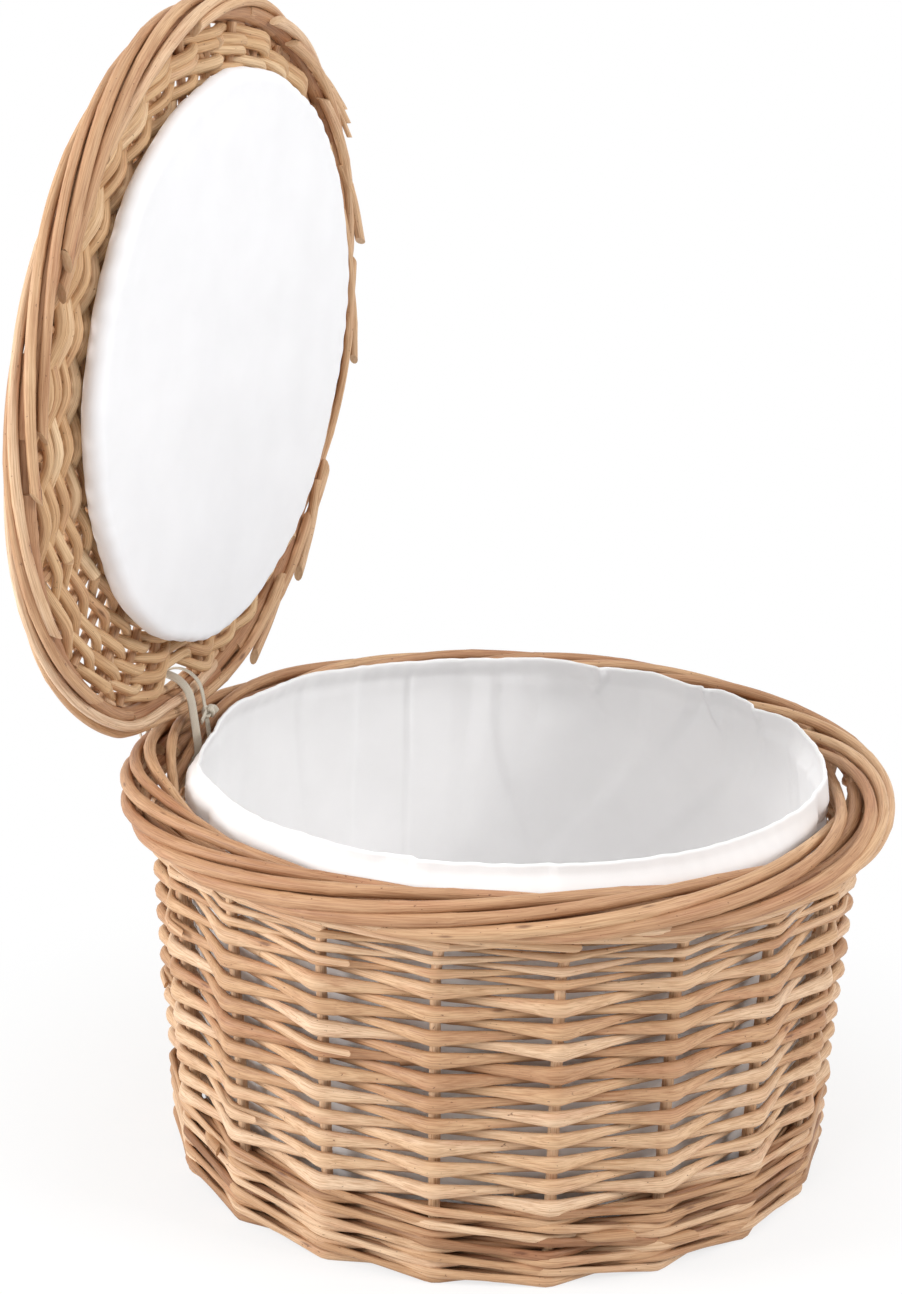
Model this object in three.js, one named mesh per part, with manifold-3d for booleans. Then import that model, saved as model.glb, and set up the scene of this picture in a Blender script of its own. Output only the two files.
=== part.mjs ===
// Round willow egg basket with a lashed lid, a cotton lining and a padded lid lining.
// Sizes are in millimetres, +Z is up and the origin is the centre of the base on the floor.
import * as THREE from 'three';
import Module from 'manifold-3d';
import { mergeVertices } from 'three/addons/utils/BufferGeometryUtils.js';

const wasm = await Module();
wasm.setup();

// Driving sizes

const CLEARANCE = 0.3;

const BODY_BOTTOM_RADIUS = 130.5;
const BODY_TOP_RADIUS = 138.5;
const STAKE_COUNT = 19;
const STAKE_DIAMETER = 4.6;
const SEAM_AZIMUTH = 126.2;
const ROW_PITCH = 4.37;
const UPSETT_ROWS = 7;
const SIDING_BANDS = 3;
const ROWS_PER_BAND = 8;
const CLIMB_START = 0.75;

const BORDER_ROD_DIAMETER = 5.8;
const BORDER_ROD_GAP = 3.6;
const BORDER_FLATNESS = 0.69;
const BORDER_BAYS = 6;
const BORDER_OVERHANG = 11.5;

const BASE_ARM_STICKS = [4, 4];
const BASE_STICK_DIAMETER = 5;
const BASE_WEAVER_WIDTH = 5.2;
const BASE_WEAVER_HEIGHT = 3.4;
const BASE_LIFT = 1.5;

const LID_RADIUS = 142.5;
const LID_ARM_STICKS = [5, 4];
const LID_STICK_DIAMETER = 4.4;
const LID_WEAVER_WIDTH = 4.8;
const LID_WEAVER_HEIGHT = 3;
const LID_BORDER_ROD_DIAMETER = 5.8;
const LID_BORDER_ROD_GAP = 1.6;
const LID_BORDER_BAYS = 5;
const HUB_RADIUS = 27;
const DISC_ROW_GAP = 0.9;

const HINGE_AZIMUTH = 159.7;
const LID_OPEN_ANGLE = 86.5;

const STRAP_WIDTH = 3.5;
const STRAP_THICKNESS = 0.9;
const STRAP_NEAR = 18.2;
const STRAP_FAR = 5.7;
const KNOT_LENGTH = 6.4;
const STRAP_LIFT = 1.6;
const DENT_HALF_ANGLE = 16;

const LINER_THICKNESS = 1.2;
const HEM_HEIGHT = 13;
const HEM_FOLD = 1.4;
const LINER_RISE = 3;
const LIP_LEAN = 3;
const PAD_RADIUS = 111;
const PAD_THICKNESS = 9.6;
const PAD_SHIFT = 4;
const PAD_CROWN = 1.6;

// Sizes that follow from them

const FULL_TURN = 360;
const stakeR = STAKE_DIAMETER / 2;
const weaverHalf = (ROW_PITCH - CLEARANCE) / 2;
const stakeOffset = stakeR + weaverHalf + CLEARANCE;
const rowCount = UPSETT_ROWS + SIDING_BANDS * ROWS_PER_BAND;
const bodyTop = rowCount * ROW_PITCH;

const strapPassage = STRAP_THICKNESS + 4.5 * CLEARANCE;
const borderLoopR = (BORDER_ROD_DIAMETER + BORDER_ROD_GAP) / (2 * Math.sin(Math.PI / BORDER_BAYS));
const borderSectionR = borderLoopR + BORDER_ROD_DIAMETER / 2;
const borderHalfHeight = borderLoopR * BORDER_FLATNESS + BORDER_ROD_DIAMETER / 2;
const borderRingR = BODY_TOP_RADIUS + BORDER_OVERHANG - borderSectionR;
const borderZ = bodyTop + strapPassage + borderHalfHeight;
const basketTop = borderZ + borderHalfHeight;

const lidLoopR = (LID_BORDER_ROD_DIAMETER + LID_BORDER_ROD_GAP)
  / (2 * Math.sin(Math.PI / LID_BORDER_BAYS));
const lidSectionR = lidLoopR + LID_BORDER_ROD_DIAMETER / 2;
const lidRingR = LID_RADIUS - lidSectionR;
const lidOffset = (LID_STICK_DIAMETER + LID_WEAVER_HEIGHT) / 2 + CLEARANCE;
const hingeZ = basketTop + CLEARANCE + lidSectionR;

const baseOffset = (BASE_STICK_DIAMETER + BASE_WEAVER_HEIGHT) / 2 + CLEARANCE;
const baseHalf = baseOffset + BASE_WEAVER_HEIGHT / 2;
const baseZ = BASE_LIFT + baseHalf;
const baseRadius = stakeCircle(0) - stakeOffset - weaverHalf - CLEARANCE;
const linerFloor = baseZ + baseHalf + CLEARANCE;

// How far a ring has curved away from the hinge line, at a distance along that line.
const sag = (ringR, y) => ringR - Math.sqrt(ringR ** 2 - y ** 2);
const strapLidR = (y) => (
  lidSectionR + 1.5 * CLEARANCE + STRAP_THICKNESS / 2 + sag(lidRingR, y + STRAP_WIDTH / 2));
const strapStandoff = 2.5 * CLEARANCE + STRAP_THICKNESS / 2;
const strapBorderR = borderSectionR + strapStandoff;
const lidWeaveR = lidRingR - strapLidR(STRAP_NEAR) - STRAP_THICKNESS - 2 * CLEARANCE;
const lashingAzimuth = HINGE_AZIMUTH
  + THREE.MathUtils.radToDeg(Math.asin((STRAP_NEAR + STRAP_FAR) / 2 / borderRingR));
const knotShare = (lidOffset + LID_WEAVER_HEIGHT / 2 + 2 * CLEARANCE + KNOT_LENGTH / 2) / (hingeZ - borderZ);
const dentDepth = 2 * STRAP_THICKNESS + KNOT_LENGTH / 2;

// Finishes

const finish = (color, roughness) => new THREE.MeshStandardMaterial({ color, roughness, metalness: 0 });
const willow = () => finish(0xcda783, 0.62);
const darkWillow = () => finish(0xb98f68, 0.65);
const cotton = () => finish(0xe6e5e3, 0.9);
const strapTape = () => finish(0xd8d2c4, 0.85);

// Placing

const radians = THREE.MathUtils.degToRad;

function polar(radius, azimuth, z) {
  return new THREE.Vector3(radius * Math.cos(radians(azimuth)), radius * Math.sin(radians(azimuth)), z);
}

function outward(azimuth) {
  return polar(1, azimuth, 0);
}

// Radius of the circle on which the stakes stand, at a height above the floor.
function stakeCircle(z) {
  const slope = (BODY_TOP_RADIUS - BODY_BOTTOM_RADIUS) / bodyTop;
  return BODY_BOTTOM_RADIUS + slope * z - 2 * weaverHalf - stakeR - CLEARANCE;
}

// Rods

// A station on a rod: where it is, which way its width lies, and its half width and half height.
function station(at, side, halfWidth, halfHeight = halfWidth) {
  return { at, side, halfWidth, halfHeight };
}

function tangentAt(stations, index) {
  const here = stations[index].at;
  const before = stations[Math.max(index - 1, 0)].at;
  const after = stations[Math.min(index + 1, stations.length - 1)].at;
  const arriving = here.clone().sub(before).normalize();
  const leaving = after.clone().sub(here).normalize();
  return arriving.add(leaving).normalize();
}

// The corners of the rod's cross-section at one station.
function sectionAt(stations, index, sides) {
  const { at, side, halfWidth, halfHeight } = stations[index];
  const tangent = tangentAt(stations, index);
  const wide = side.clone().addScaledVector(tangent, -side.dot(tangent)).normalize();
  const high = tangent.clone().cross(wide);
  const reach = sides === 4 ? Math.SQRT2 : 1;
  return Array.from({ length: sides }, (_, corner) => {
    const turn = 2 * Math.PI * (corner + 0.5) / sides;
    return at.clone()
      .addScaledVector(wide, reach * halfWidth * Math.cos(turn))
      .addScaledVector(high, reach * halfHeight * Math.sin(turn));
  });
}

// A closed rod through its stations, with flat cut ends.
function rod(stations, sides) {
  const positions = [];
  stations.forEach((_, index) => {
    sectionAt(stations, index, sides).forEach((corner) => positions.push(...corner.toArray()));
  });
  const triangles = [];
  for (let ring = 0; ring < stations.length - 1; ring += 1) {
    for (let corner = 0; corner < sides; corner += 1) {
      const a = ring * sides + corner;
      const b = ring * sides + (corner + 1) % sides;
      triangles.push(a, b, b + sides, a, b + sides, a + sides);
    }
  }
  const last = (stations.length - 1) * sides;
  for (let corner = 1; corner < sides - 1; corner += 1) {
    triangles.push(0, corner + 1, corner);
    triangles.push(last, last + corner, last + corner + 1);
  }
  const geometry = new THREE.BufferGeometry();
  geometry.setAttribute('position', new THREE.Float32BufferAttribute(positions, 3));
  geometry.setIndex(triangles);
  return geometry;
}

// The point a share of the way from one station to the next.
function between(from, to, share) {
  return station(from.at.clone().lerp(to.at, share), from.side.clone().lerp(to.side, share),
    from.halfWidth, from.halfHeight);
}

// Joining solids

function toManifold(geometry) {
  const vertProperties = new Float32Array(geometry.getAttribute('position').array);
  const triVerts = new Uint32Array(geometry.getIndex().array);
  return new wasm.Manifold(new wasm.Mesh({ numProp: 3, vertProperties, triVerts }));
}

function toGeometry(manifold) {
  const mesh = manifold.getMesh();
  const geometry = new THREE.BufferGeometry();
  geometry.setAttribute('position', new THREE.Float32BufferAttribute(mesh.vertProperties, mesh.numProp));
  geometry.setIndex(Array.from(mesh.triVerts));
  return geometry;
}

function joined(geometries) {
  return toGeometry(geometries.map(toManifold).reduce((whole, next) => whole.add(next)));
}

function part(name, geometry, material) {
  const mesh = new THREE.Mesh(geometry, material);
  mesh.name = name;
  return mesh;
}

const numbered = (name, index) => `${name}_${String(index + 1).padStart(2, '0')}`;

// Woven wall

// Rows lie level for most of a round, then climb one row before the seam.
function rowHeight(stroke) {
  const round = Math.floor(stroke / STAKE_COUNT);
  const share = stroke / STAKE_COUNT - round;
  const climb = Math.max(0, (share - CLIMB_START) / (1 - CLIMB_START));
  return weaverHalf + ROW_PITCH * (round + climb);
}

// A stroke number steps on by one at the end of a round when the stakes are even in number.
const alternate = (stroke) => stroke + (STAKE_COUNT % 2 ? 0 : Math.floor(stroke / STAKE_COUNT));
const overOneUnderOne = (stroke) => alternate(stroke) % 2 === 0;
const overTwoUnderOne = (stroke) => stroke % 3 !== 2;

function strokeStation(stroke, isOutside) {
  const azimuth = SEAM_AZIMUTH + FULL_TURN * stroke / STAKE_COUNT;
  const z = rowHeight(stroke);
  const radius = stakeCircle(z) + (isOutside(stroke) ? stakeOffset : -stakeOffset);
  return station(polar(radius, azimuth, z), outward(azimuth), weaverHalf);
}

// One weaving rod from its first stroke to its last, with each end cut short of the next rod.
function weaver(first, last, isOutside) {
  const strokes = Array.from({ length: last - first + 1 }, (_, n) => strokeStation(first + n, isOutside));
  const head = between(strokes[0], strokeStation(Math.max(first - 1, 0), isOutside), first ? 0.45 : 0);
  const tail = between(strokes.at(-1), strokeStation(last + 1, isOutside), 0.45);
  return rod(first ? [head, ...strokes, tail] : [...strokes, tail], 4);
}

function upsett() {
  const strokes = UPSETT_ROWS * STAKE_COUNT;
  const rods = 3;
  return Array.from({ length: rods }, (_, index) => {
    const first = Math.round(index * strokes / rods);
    const last = Math.round((index + 1) * strokes / rods) - 1;
    return part(numbered('upsett_weaver', index), weaver(first, last, overTwoUnderOne), darkWillow());
  });
}

function siding() {
  const names = ['lower', 'middle', 'upper'];
  const bandStrokes = ROWS_PER_BAND * STAKE_COUNT;
  return Array.from({ length: SIDING_BANDS }, (_, band) => {
    const first = UPSETT_ROWS * STAKE_COUNT + band * bandStrokes;
    const isTop = band === SIDING_BANDS - 1;
    const levelEnd = Math.floor(CLIMB_START * STAKE_COUNT) - STAKE_COUNT;
    const last = first + bandStrokes - 1 + (isTop ? levelEnd : 0);
    const name = `siding_weaver_${names[band] ?? band}`;
    return part(name, weaver(first, last, overOneUnderOne), willow());
  });
}

// Rolled border

// Points of a border rod that runs along the ring while it goes once round its section;
// `lay` is 1 when it goes over the top inwards and -1 when it goes over the top outwards.
function borderRun(shape) {
  const { ringR, loopR, flatness, centreZ, bays, bay, startTurn, lay, from, to, azimuth, halfWidth } = shape;
  const steps = 2 * bays;
  return Array.from({ length: steps + 1 }, (_, step) => {
    const along = from + (to - from) * step / steps;
    const turn = startTurn + lay * FULL_TURN * along / bays;
    const radius = ringR + loopR * Math.cos(radians(turn));
    const z = centreZ + loopR * flatness * Math.sin(radians(turn));
    const here = azimuth + bay * along;
    const tip = step === steps ? 0.6 : 1;
    return station(polar(radius, here, z), outward(here), halfWidth * tip);
  });
}

// A stake stands in the wall, and its upper end is turned down along the border.
function stake(index) {
  const bay = FULL_TURN / STAKE_COUNT;
  const azimuth = SEAM_AZIMUTH + bay * index;
  const side = outward(azimuth);
  const foot = station(polar(stakeCircle(CLEARANCE), azimuth, CLEARANCE), side, stakeR);
  const kneeZ = bodyTop + CLEARANCE + stakeR / 4;
  const knee = station(polar(stakeCircle(kneeZ), azimuth, kneeZ), side, stakeR);
  const run = borderRun({
    ringR: borderRingR,
    loopR: borderLoopR,
    flatness: BORDER_FLATNESS,
    centreZ: borderZ,
    bays: BORDER_BAYS,
    bay,
    startTurn: -90,
    lay: 1,
    from: 0.12,
    to: BORDER_BAYS - 0.45,
    azimuth,
    halfWidth: BORDER_ROD_DIAMETER / 2,
  });
  run[0].halfWidth = (stakeR + BORDER_ROD_DIAMETER / 2) / 2;
  run[0].halfHeight = run[0].halfWidth;
  return rod([foot, knee, ...run], 5);
}

function stakes() {
  return Array.from({ length: STAKE_COUNT }, (_, index) => (
    part(numbered('stake', index), stake(index), willow())));
}

// Woven discs

// Sticks of one arm lie side by side at the middle, then open out to even angles.
function armSticks(count, armAngle, bay, length, radius, z) {
  return Array.from({ length: count }, (_, index) => {
    const place = index - (count - 1) / 2;
    const offset = place * (2 * radius + CLEARANCE / 2);
    const spread = place * bay;
    const bend = place ? Math.abs(offset) / Math.sin(radians(Math.abs(spread))) : length / 2;
    const across = outward(armAngle + 90);
    const ends = [length, bend].map((reach) => polar(reach, armAngle + spread, z));
    const others = [bend, length].map((reach) => polar(reach, armAngle + 180 - spread, z));
    return rod([...ends, ...others].map((at) => station(at, across, radius)), 6);
  });
}

// Two arms of sticks, one pierced by the other, as one locked cross.
function slath(arms, stickDiameter, length, firstAngle, z) {
  const bay = FULL_TURN / (2 * (arms[0] + arms[1]));
  const radius = stickDiameter / 2;
  return joined([
    ...armSticks(arms[0], firstAngle, bay, length, radius, z),
    ...armSticks(arms[1], firstAngle + 90, bay, length, radius, z),
  ]);
}

// A spiral weaver, over and under the sticks; `phase` 0 and 1 are the two rods of the pair.
function spiralWeaver({ arms, firstAngle, outerR, width, height, offset, stickR, z, phase }) {
  const sticks = 2 * (arms[0] + arms[1]);
  const bay = FULL_TURN / sticks;
  const pitch = width + DISC_ROW_GAP;
  const rounds = Math.floor((outerR - width / 2 - HUB_RADIUS - pitch) / (2 * pitch));
  const startR = outerR - width / 2 - pitch - 2 * pitch * rounds;
  const stations = [];
  for (let stroke = 0; stroke <= rounds * sticks; stroke += 1) {
    const radius = startR + phase * pitch + 2 * pitch * stroke / sticks;
    const azimuth = firstAngle + bay * stroke;
    const level = z + ((stroke + phase) % 2 ? -offset : offset);
    const steep = 4 * offset * 1.6 > radians(bay) * radius;
    const flats = steep ? [-1, 1] : [0];
    flats.forEach((flat) => {
      const turn = azimuth + THREE.MathUtils.radToDeg(flat * stickR / radius);
      stations.push(station(polar(radius, turn, level), outward(turn), width / 2, height / 2));
    });
  }
  return rod(stations, 4);
}

function discWeave(name, shape, material) {
  return ['inner', 'outer'].map((rodName, phase) => (
    part(`${name}_${rodName}_weaver`, spiralWeaver({ ...shape, phase }), material())));
}

// The woven base, standing a little above the floor inside the foot of the wall.
function base() {
  const bay = FULL_TURN / (2 * (BASE_ARM_STICKS[0] + BASE_ARM_STICKS[1]));
  const shape = {
    arms: BASE_ARM_STICKS,
    firstAngle: bay / 2,
    outerR: baseRadius,
    width: BASE_WEAVER_WIDTH,
    height: BASE_WEAVER_HEIGHT,
    offset: baseOffset,
    stickR: BASE_STICK_DIAMETER / 2,
    z: baseZ,
  };
  const cross = slath(BASE_ARM_STICKS, BASE_STICK_DIAMETER, baseRadius, 0, baseZ);
  return [part('base_sticks', cross, darkWillow()), ...discWeave('base', shape, willow)];
}

// Lid, modelled closed about its own centre with its outside up

const lidBay = FULL_TURN / (2 * (LID_ARM_STICKS[0] + LID_ARM_STICKS[1]));
const strapAngle = THREE.MathUtils.radToDeg(Math.atan2((STRAP_NEAR + STRAP_FAR) / 2, lidWeaveR));
const lidStickAngle = strapAngle + lidBay / 2;

function lidBorderRod(index) {
  const azimuth = lidStickAngle + lidBay * index;
  const halfWidth = LID_BORDER_ROD_DIAMETER / 2;
  const start = station(polar(lidWeaveR + 2 * CLEARANCE + halfWidth / 2, azimuth, 0), outward(azimuth + 90),
    halfWidth * 0.75);
  const run = borderRun({
    ringR: lidRingR,
    loopR: lidLoopR,
    flatness: 1,
    centreZ: 0,
    bays: LID_BORDER_BAYS,
    bay: -lidBay,
    startTurn: 180,
    lay: -1,
    from: 0.22,
    to: LID_BORDER_BAYS - 0.35,
    azimuth,
    halfWidth,
  });
  return rod([start, ...run], 5);
}

function lidWicker() {
  const shape = {
    arms: LID_ARM_STICKS,
    firstAngle: lidStickAngle,
    outerR: lidWeaveR,
    width: LID_WEAVER_WIDTH,
    height: LID_WEAVER_HEIGHT,
    offset: lidOffset,
    stickR: LID_STICK_DIAMETER / 2,
    z: 0,
  };
  const cross = slath(LID_ARM_STICKS, LID_STICK_DIAMETER, lidWeaveR, lidStickAngle, 0);
  const borderCount = FULL_TURN / lidBay;
  return [
    part('lid_sticks', cross, darkWillow()),
    ...discWeave('lid', shape, willow),
    ...Array.from({ length: borderCount }, (_, index) => (
      part(numbered('lid_border_rod', index), lidBorderRod(index), willow()))),
  ];
}

// A padded cotton disc with a rounded edge and a low crown, below the lid and a little off its centre.
function lidPad() {
  const top = -(lidOffset + LID_WEAVER_HEIGHT / 2 + CLEARANCE);
  const round = PAD_THICKNESS / 2;
  const edge = [90, 30, -30, -90].map((turn) => new THREE.Vector2(
    PAD_RADIUS - round + round * Math.cos(radians(turn)),
    top - round + round * Math.sin(radians(turn)),
  ));
  const crown = [0.7, 0.4, 0].map((share) => new THREE.Vector2(
    share * PAD_RADIUS,
    top - PAD_THICKNESS - PAD_CROWN * Math.cos(share * Math.PI / 2),
  ));
  const profile = [new THREE.Vector2(0, top), ...edge, ...crown].reverse();
  const disc = new THREE.LatheGeometry(profile, 40).rotateX(Math.PI / 2).translate(-PAD_SHIFT, 0, 0);
  return part('lid_pad', disc, cotton());
}

function hingedLid() {
  const disc = new THREE.Group();
  disc.position.x = -lidRingR;
  disc.add(...lidWicker(), lidPad());
  const swing = new THREE.Group();
  swing.rotation.y = radians(LID_OPEN_ANGLE);
  swing.add(disc);
  const hinge = new THREE.Group();
  hinge.position.copy(polar(borderRingR, HINGE_AZIMUTH, hingeZ));
  hinge.rotation.z = radians(HINGE_AZIMUTH);
  hinge.add(swing);
  return hinge;
}

// Lining

// The lining's outside, kept within the weave and the border.
function linerRadius(z) {
  const inWall = stakeCircle(z) - stakeOffset - weaverHalf - CLEARANCE;
  const inBorder = borderRingR - borderSectionR - CLEARANCE;
  return z < bodyTop ? inWall : Math.min(inWall, inBorder);
}

// The lashing presses the lining in a little beside the hinge.
function pressIn(geometry) {
  const position = geometry.getAttribute('position');
  const point = new THREE.Vector3();
  for (let index = 0; index < position.count; index += 1) {
    point.fromBufferAttribute(position, index);
    const away = Math.abs(THREE.MathUtils.radToDeg(Math.atan2(point.y, point.x)) - lashingAzimuth);
    const near = Math.cos(radians(90 * Math.min(1, away / DENT_HALF_ANGLE))) ** 2;
    const high = THREE.MathUtils.smoothstep(point.z, bodyTop / 2, bodyTop);
    const radius = Math.hypot(point.x, point.y);
    if (radius > 0) {
      const keep = 1 - dentDepth * near * high / radius;
      position.setXY(index, point.x * keep, point.y * keep);
    }
  }
  return geometry;
}

function liner() {
  const top = basketTop + LINER_RISE;
  const hemStart = top - HEM_HEIGHT;
  const lipR = linerRadius(top) - LIP_LEAN;
  const outside = [linerFloor + 6, bodyTop / 2, bodyTop, hemStart]
    .map((z) => new THREE.Vector2(linerRadius(z), z));
  const inside = [
    [linerRadius(hemStart) - LINER_THICKNESS - HEM_FOLD, hemStart],
    [linerRadius(hemStart) - LINER_THICKNESS, hemStart - 1.5],
    [linerRadius(bodyTop / 2) - LINER_THICKNESS, bodyTop / 2],
    [linerRadius(linerFloor) - 2 * LINER_THICKNESS, linerFloor + 6],
    [linerRadius(linerFloor) - 7, linerFloor + LINER_THICKNESS],
    [0, linerFloor + LINER_THICKNESS],
  ].map(([radius, z]) => new THREE.Vector2(radius, z));
  const profile = [
    new THREE.Vector2(0, linerFloor),
    new THREE.Vector2(linerRadius(linerFloor) - 6, linerFloor),
    ...outside,
    new THREE.Vector2(lipR, top - 1),
    new THREE.Vector2(lipR - (LINER_THICKNESS + HEM_FOLD) / 2, top),
    new THREE.Vector2(lipR - LINER_THICKNESS - HEM_FOLD, top - 1),
    ...inside,
  ];
  return part('liner', pressIn(new THREE.LatheGeometry(profile, 48).rotateX(Math.PI / 2)), cotton());
}

// Lashing, about the hinge line: X outward, Y along the hinge, Z up

const drop = hingeZ - borderZ;
const strapLean = THREE.MathUtils.radToDeg(Math.asin((strapBorderR - strapLidR(STRAP_FAR)) / drop));

// A point of the loop on the lid's border or the basket's, at an angle about that border.
function loopPoint(isLid, angle, y, lift = 0) {
  const radius = (isLid ? strapLidR(y) : strapBorderR) + lift;
  const height = isLid ? radius : borderHalfHeight + strapStandoff + lift;
  const centre = isLid ? new THREE.Vector3(0, y, 0) : new THREE.Vector3(-sag(borderRingR, y), y, -drop);
  return centre.add(new THREE.Vector3(
    radius * Math.cos(radians(angle)),
    0,
    height * Math.sin(radians(angle)),
  ));
}

// One turn of the strap: under the basket's border, out, and back over the lid's border.
function strapTurn(fromY, toY, lift) {
  const under = [180 - strapLean, 200, 225, 250, 275, 300].map((angle) => loopPoint(false, angle, fromY));
  const outside = [
    loopPoint(false, 330, (fromY + toY) / 2, lift),
    loopPoint(false, 360 + strapLean, toY, lift / 2),
  ];
  const over = [strapLean, 35, 62, 90, 118, 145, 180 - strapLean]
    .map((angle) => loopPoint(true, angle, toY));
  return [...under, ...outside, ...over];
}

// Two turns from the knot and back to it.
function strapPoints() {
  const high = loopPoint(true, 180 - strapLean, STRAP_FAR);
  const low = loopPoint(false, 180 - strapLean, STRAP_FAR);
  const reach = (KNOT_LENGTH / 2 + CLEARANCE) / high.distanceTo(low);
  const start = high.clone().lerp(low, knotShare + reach);
  const end = high.clone().lerp(low, knotShare - reach);
  return [
    start,
    ...strapTurn(STRAP_FAR, STRAP_NEAR, 0),
    ...strapTurn(STRAP_NEAR, STRAP_FAR, STRAP_LIFT),
    end,
  ];
}

// The least gap between points of the strap that are half a turn or more apart.
function strapGap(points) {
  const dense = points.slice(1).flatMap((point, index) => (
    [0, 0.25, 0.5, 0.75].map((share) => points[index].clone().lerp(point, share))));
  const halfTurn = dense.length / 4;
  let least = Infinity;
  dense.forEach((one, index) => dense.slice(index + Math.ceil(halfTurn)).forEach((other) => {
    least = Math.min(least, one.distanceTo(other));
  }));
  return least - STRAP_THICKNESS;
}

function knot() {
  const high = loopPoint(true, 180 - strapLean, STRAP_FAR);
  const low = loopPoint(false, 180 - strapLean, STRAP_FAR);
  const centre = high.lerp(low, knotShare);
  const lump = new THREE.IcosahedronGeometry(KNOT_LENGTH / 2, 1).scale(0.62, 0.85, 1);
  lump.deleteAttribute('normal');
  lump.deleteAttribute('uv');
  lump.translate(centre.x - KNOT_LENGTH / 5, centre.y, centre.z);
  const along = new THREE.Vector3(0, 0, 1);
  const tail = [[0, 0, 0], [-1.6, 4, 0.6], [-2, 8, -0.6]].map(([x, y, z]) => station(
    new THREE.Vector3(centre.x + x, centre.y + y, centre.z + z),
    along,
    STRAP_WIDTH / 2.4,
    STRAP_THICKNESS / 2,
  ));
  return joined([mergeVertices(lump), rod(tail, 4)]);
}

function lashing() {
  const points = strapPoints();
  console.log(`least gap between the strap's turns: ${strapGap(points).toFixed(2)} mm`);
  const along = new THREE.Vector3(0, 1, 0);
  const strap = points.map((at) => station(at, along, STRAP_WIDTH / 2, STRAP_THICKNESS / 2));
  const place = new THREE.Group();
  place.position.copy(polar(borderRingR, HINGE_AZIMUTH, hingeZ));
  place.rotation.z = radians(HINGE_AZIMUTH);
  place.add(part('lashing_strap', rod(strap, 4), strapTape()), part('lashing_knot', knot(), strapTape()));
  return place;
}

// The basket

const basket = new THREE.Group();
basket.add(...base(), ...upsett(), ...siding(), ...stakes(), liner(), lashing(), hingedLid());

export default basket;
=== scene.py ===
"""A round willow egg basket with a lashed lid, a cotton lining and a padded lid lining.

Lengths in the classes are millimetres, and each mesh is scaled to metres when it is made.
+Z is up, and the origin is the centre of the base on the floor.
"""

import logging
import math
from collections.abc import Callable, Sequence
from dataclasses import dataclass, field
from enum import Enum

import bpy
import numpy as np
from bpy.types import Material, Node, NodeSocket, Object
from mathutils import Matrix, Vector


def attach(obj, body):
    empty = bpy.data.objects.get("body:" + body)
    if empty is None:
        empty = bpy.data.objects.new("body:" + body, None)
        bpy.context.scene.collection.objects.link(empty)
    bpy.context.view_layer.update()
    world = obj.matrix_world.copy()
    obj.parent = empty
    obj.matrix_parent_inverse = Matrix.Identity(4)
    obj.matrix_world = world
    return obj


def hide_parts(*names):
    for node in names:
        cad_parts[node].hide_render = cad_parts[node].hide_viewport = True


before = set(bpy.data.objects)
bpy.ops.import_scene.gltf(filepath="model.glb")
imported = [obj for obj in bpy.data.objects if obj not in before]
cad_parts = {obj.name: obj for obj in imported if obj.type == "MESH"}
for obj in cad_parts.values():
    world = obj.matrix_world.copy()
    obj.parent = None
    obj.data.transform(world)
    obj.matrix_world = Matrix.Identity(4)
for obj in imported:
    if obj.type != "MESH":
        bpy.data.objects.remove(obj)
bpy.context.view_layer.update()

MM = 0.001
FULL_TURN = 360.0
SEED = 1907
UP = np.array([0.0, 0.0, 1.0])

Array = np.ndarray
Random = np.random.Generator
Colour = tuple[float, float, float, float]
Spot = tuple[float, float, float]

log = logging.getLogger("basket")


class Body(Enum):
    """The two bodies that move against each other."""

    BASKET = "basket"
    LID = "lid"


class Slot(Enum):
    """The finishes named in the record."""

    WILLOW = "willow"
    DARK_WILLOW = "willow_dark"
    COTTON = "cotton"
    TAPE = "tape"


class End(Enum):
    """How a rod ends."""

    CUT = "slanting cut"
    SQUARE = "square cut"


# Small helpers


def polar(radius: float, azimuth: float, z: float) -> Array:
    """The point at a radius, an azimuth in degrees and a height."""
    turn = math.radians(azimuth)
    return np.array([radius * math.cos(turn), radius * math.sin(turn), z])


def ring_of(radius: Array, turns: Array, z: Array | float) -> Array:
    """The points of a ring at some radii, angles in radians and heights."""
    return np.column_stack([radius * np.cos(turns), radius * np.sin(turns), z + 0 * turns])


def turns_of(count: int) -> Array:
    """Evenly spaced angles round a ring, in degrees."""
    return np.arange(count) * FULL_TURN / count


def turned(angle: Array | float, start: float = 0.0) -> Array | float:
    """The angle from a start, between -180 and 180 degrees."""
    return (angle - start + 180) % FULL_TURN - 180


def unit(vector: Array) -> Array:
    """The vector at length one."""
    return vector / max(float(np.linalg.norm(vector)), 1e-9)


def smoothstep(value: Array | float, low: float, high: float) -> Array | float:
    """0 below low, 1 above high, and smooth between them."""
    share = np.clip((np.asarray(value) - low) / (high - low), 0.0, 1.0)
    return share * share * (3 - 2 * share)


def linear(red: int, green: int, blue: int) -> Colour:
    """A shader colour from screen values of 0 to 255."""
    return tuple((value / 255) ** 2.2 for value in (red, green, blue)) + (1.0,)


@dataclass
class Wander:
    """A smooth random field round the basket, the same in every run.

    Args:
        seed: which field it is.
        height: the height over which it changes.
        waves: the most waves round the basket.
    """

    seed: int
    height: float = 60.0
    waves: int = 9
    terms: Array = field(init=False)

    def __post_init__(self) -> None:
        """Draws the waves that add up to the field."""
        rng = np.random.default_rng(self.seed)
        count = 10
        self.terms = np.column_stack([
            rng.integers(1, self.waves + 1, count),
            rng.uniform(-1, 1, count) * 2 * math.pi / self.height,
            rng.uniform(0, 2 * math.pi, count),
            rng.uniform(0.5, 1, count),
        ])

    def at(self, azimuth: float, z: float) -> float:
        """The field's value, about -1 to 1."""
        around, up, phase, size = self.terms.T
        waves = size * np.sin(around * math.radians(azimuth) + up * z + phase)
        return float(waves.sum() / np.sqrt((size ** 2).sum()))


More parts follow.
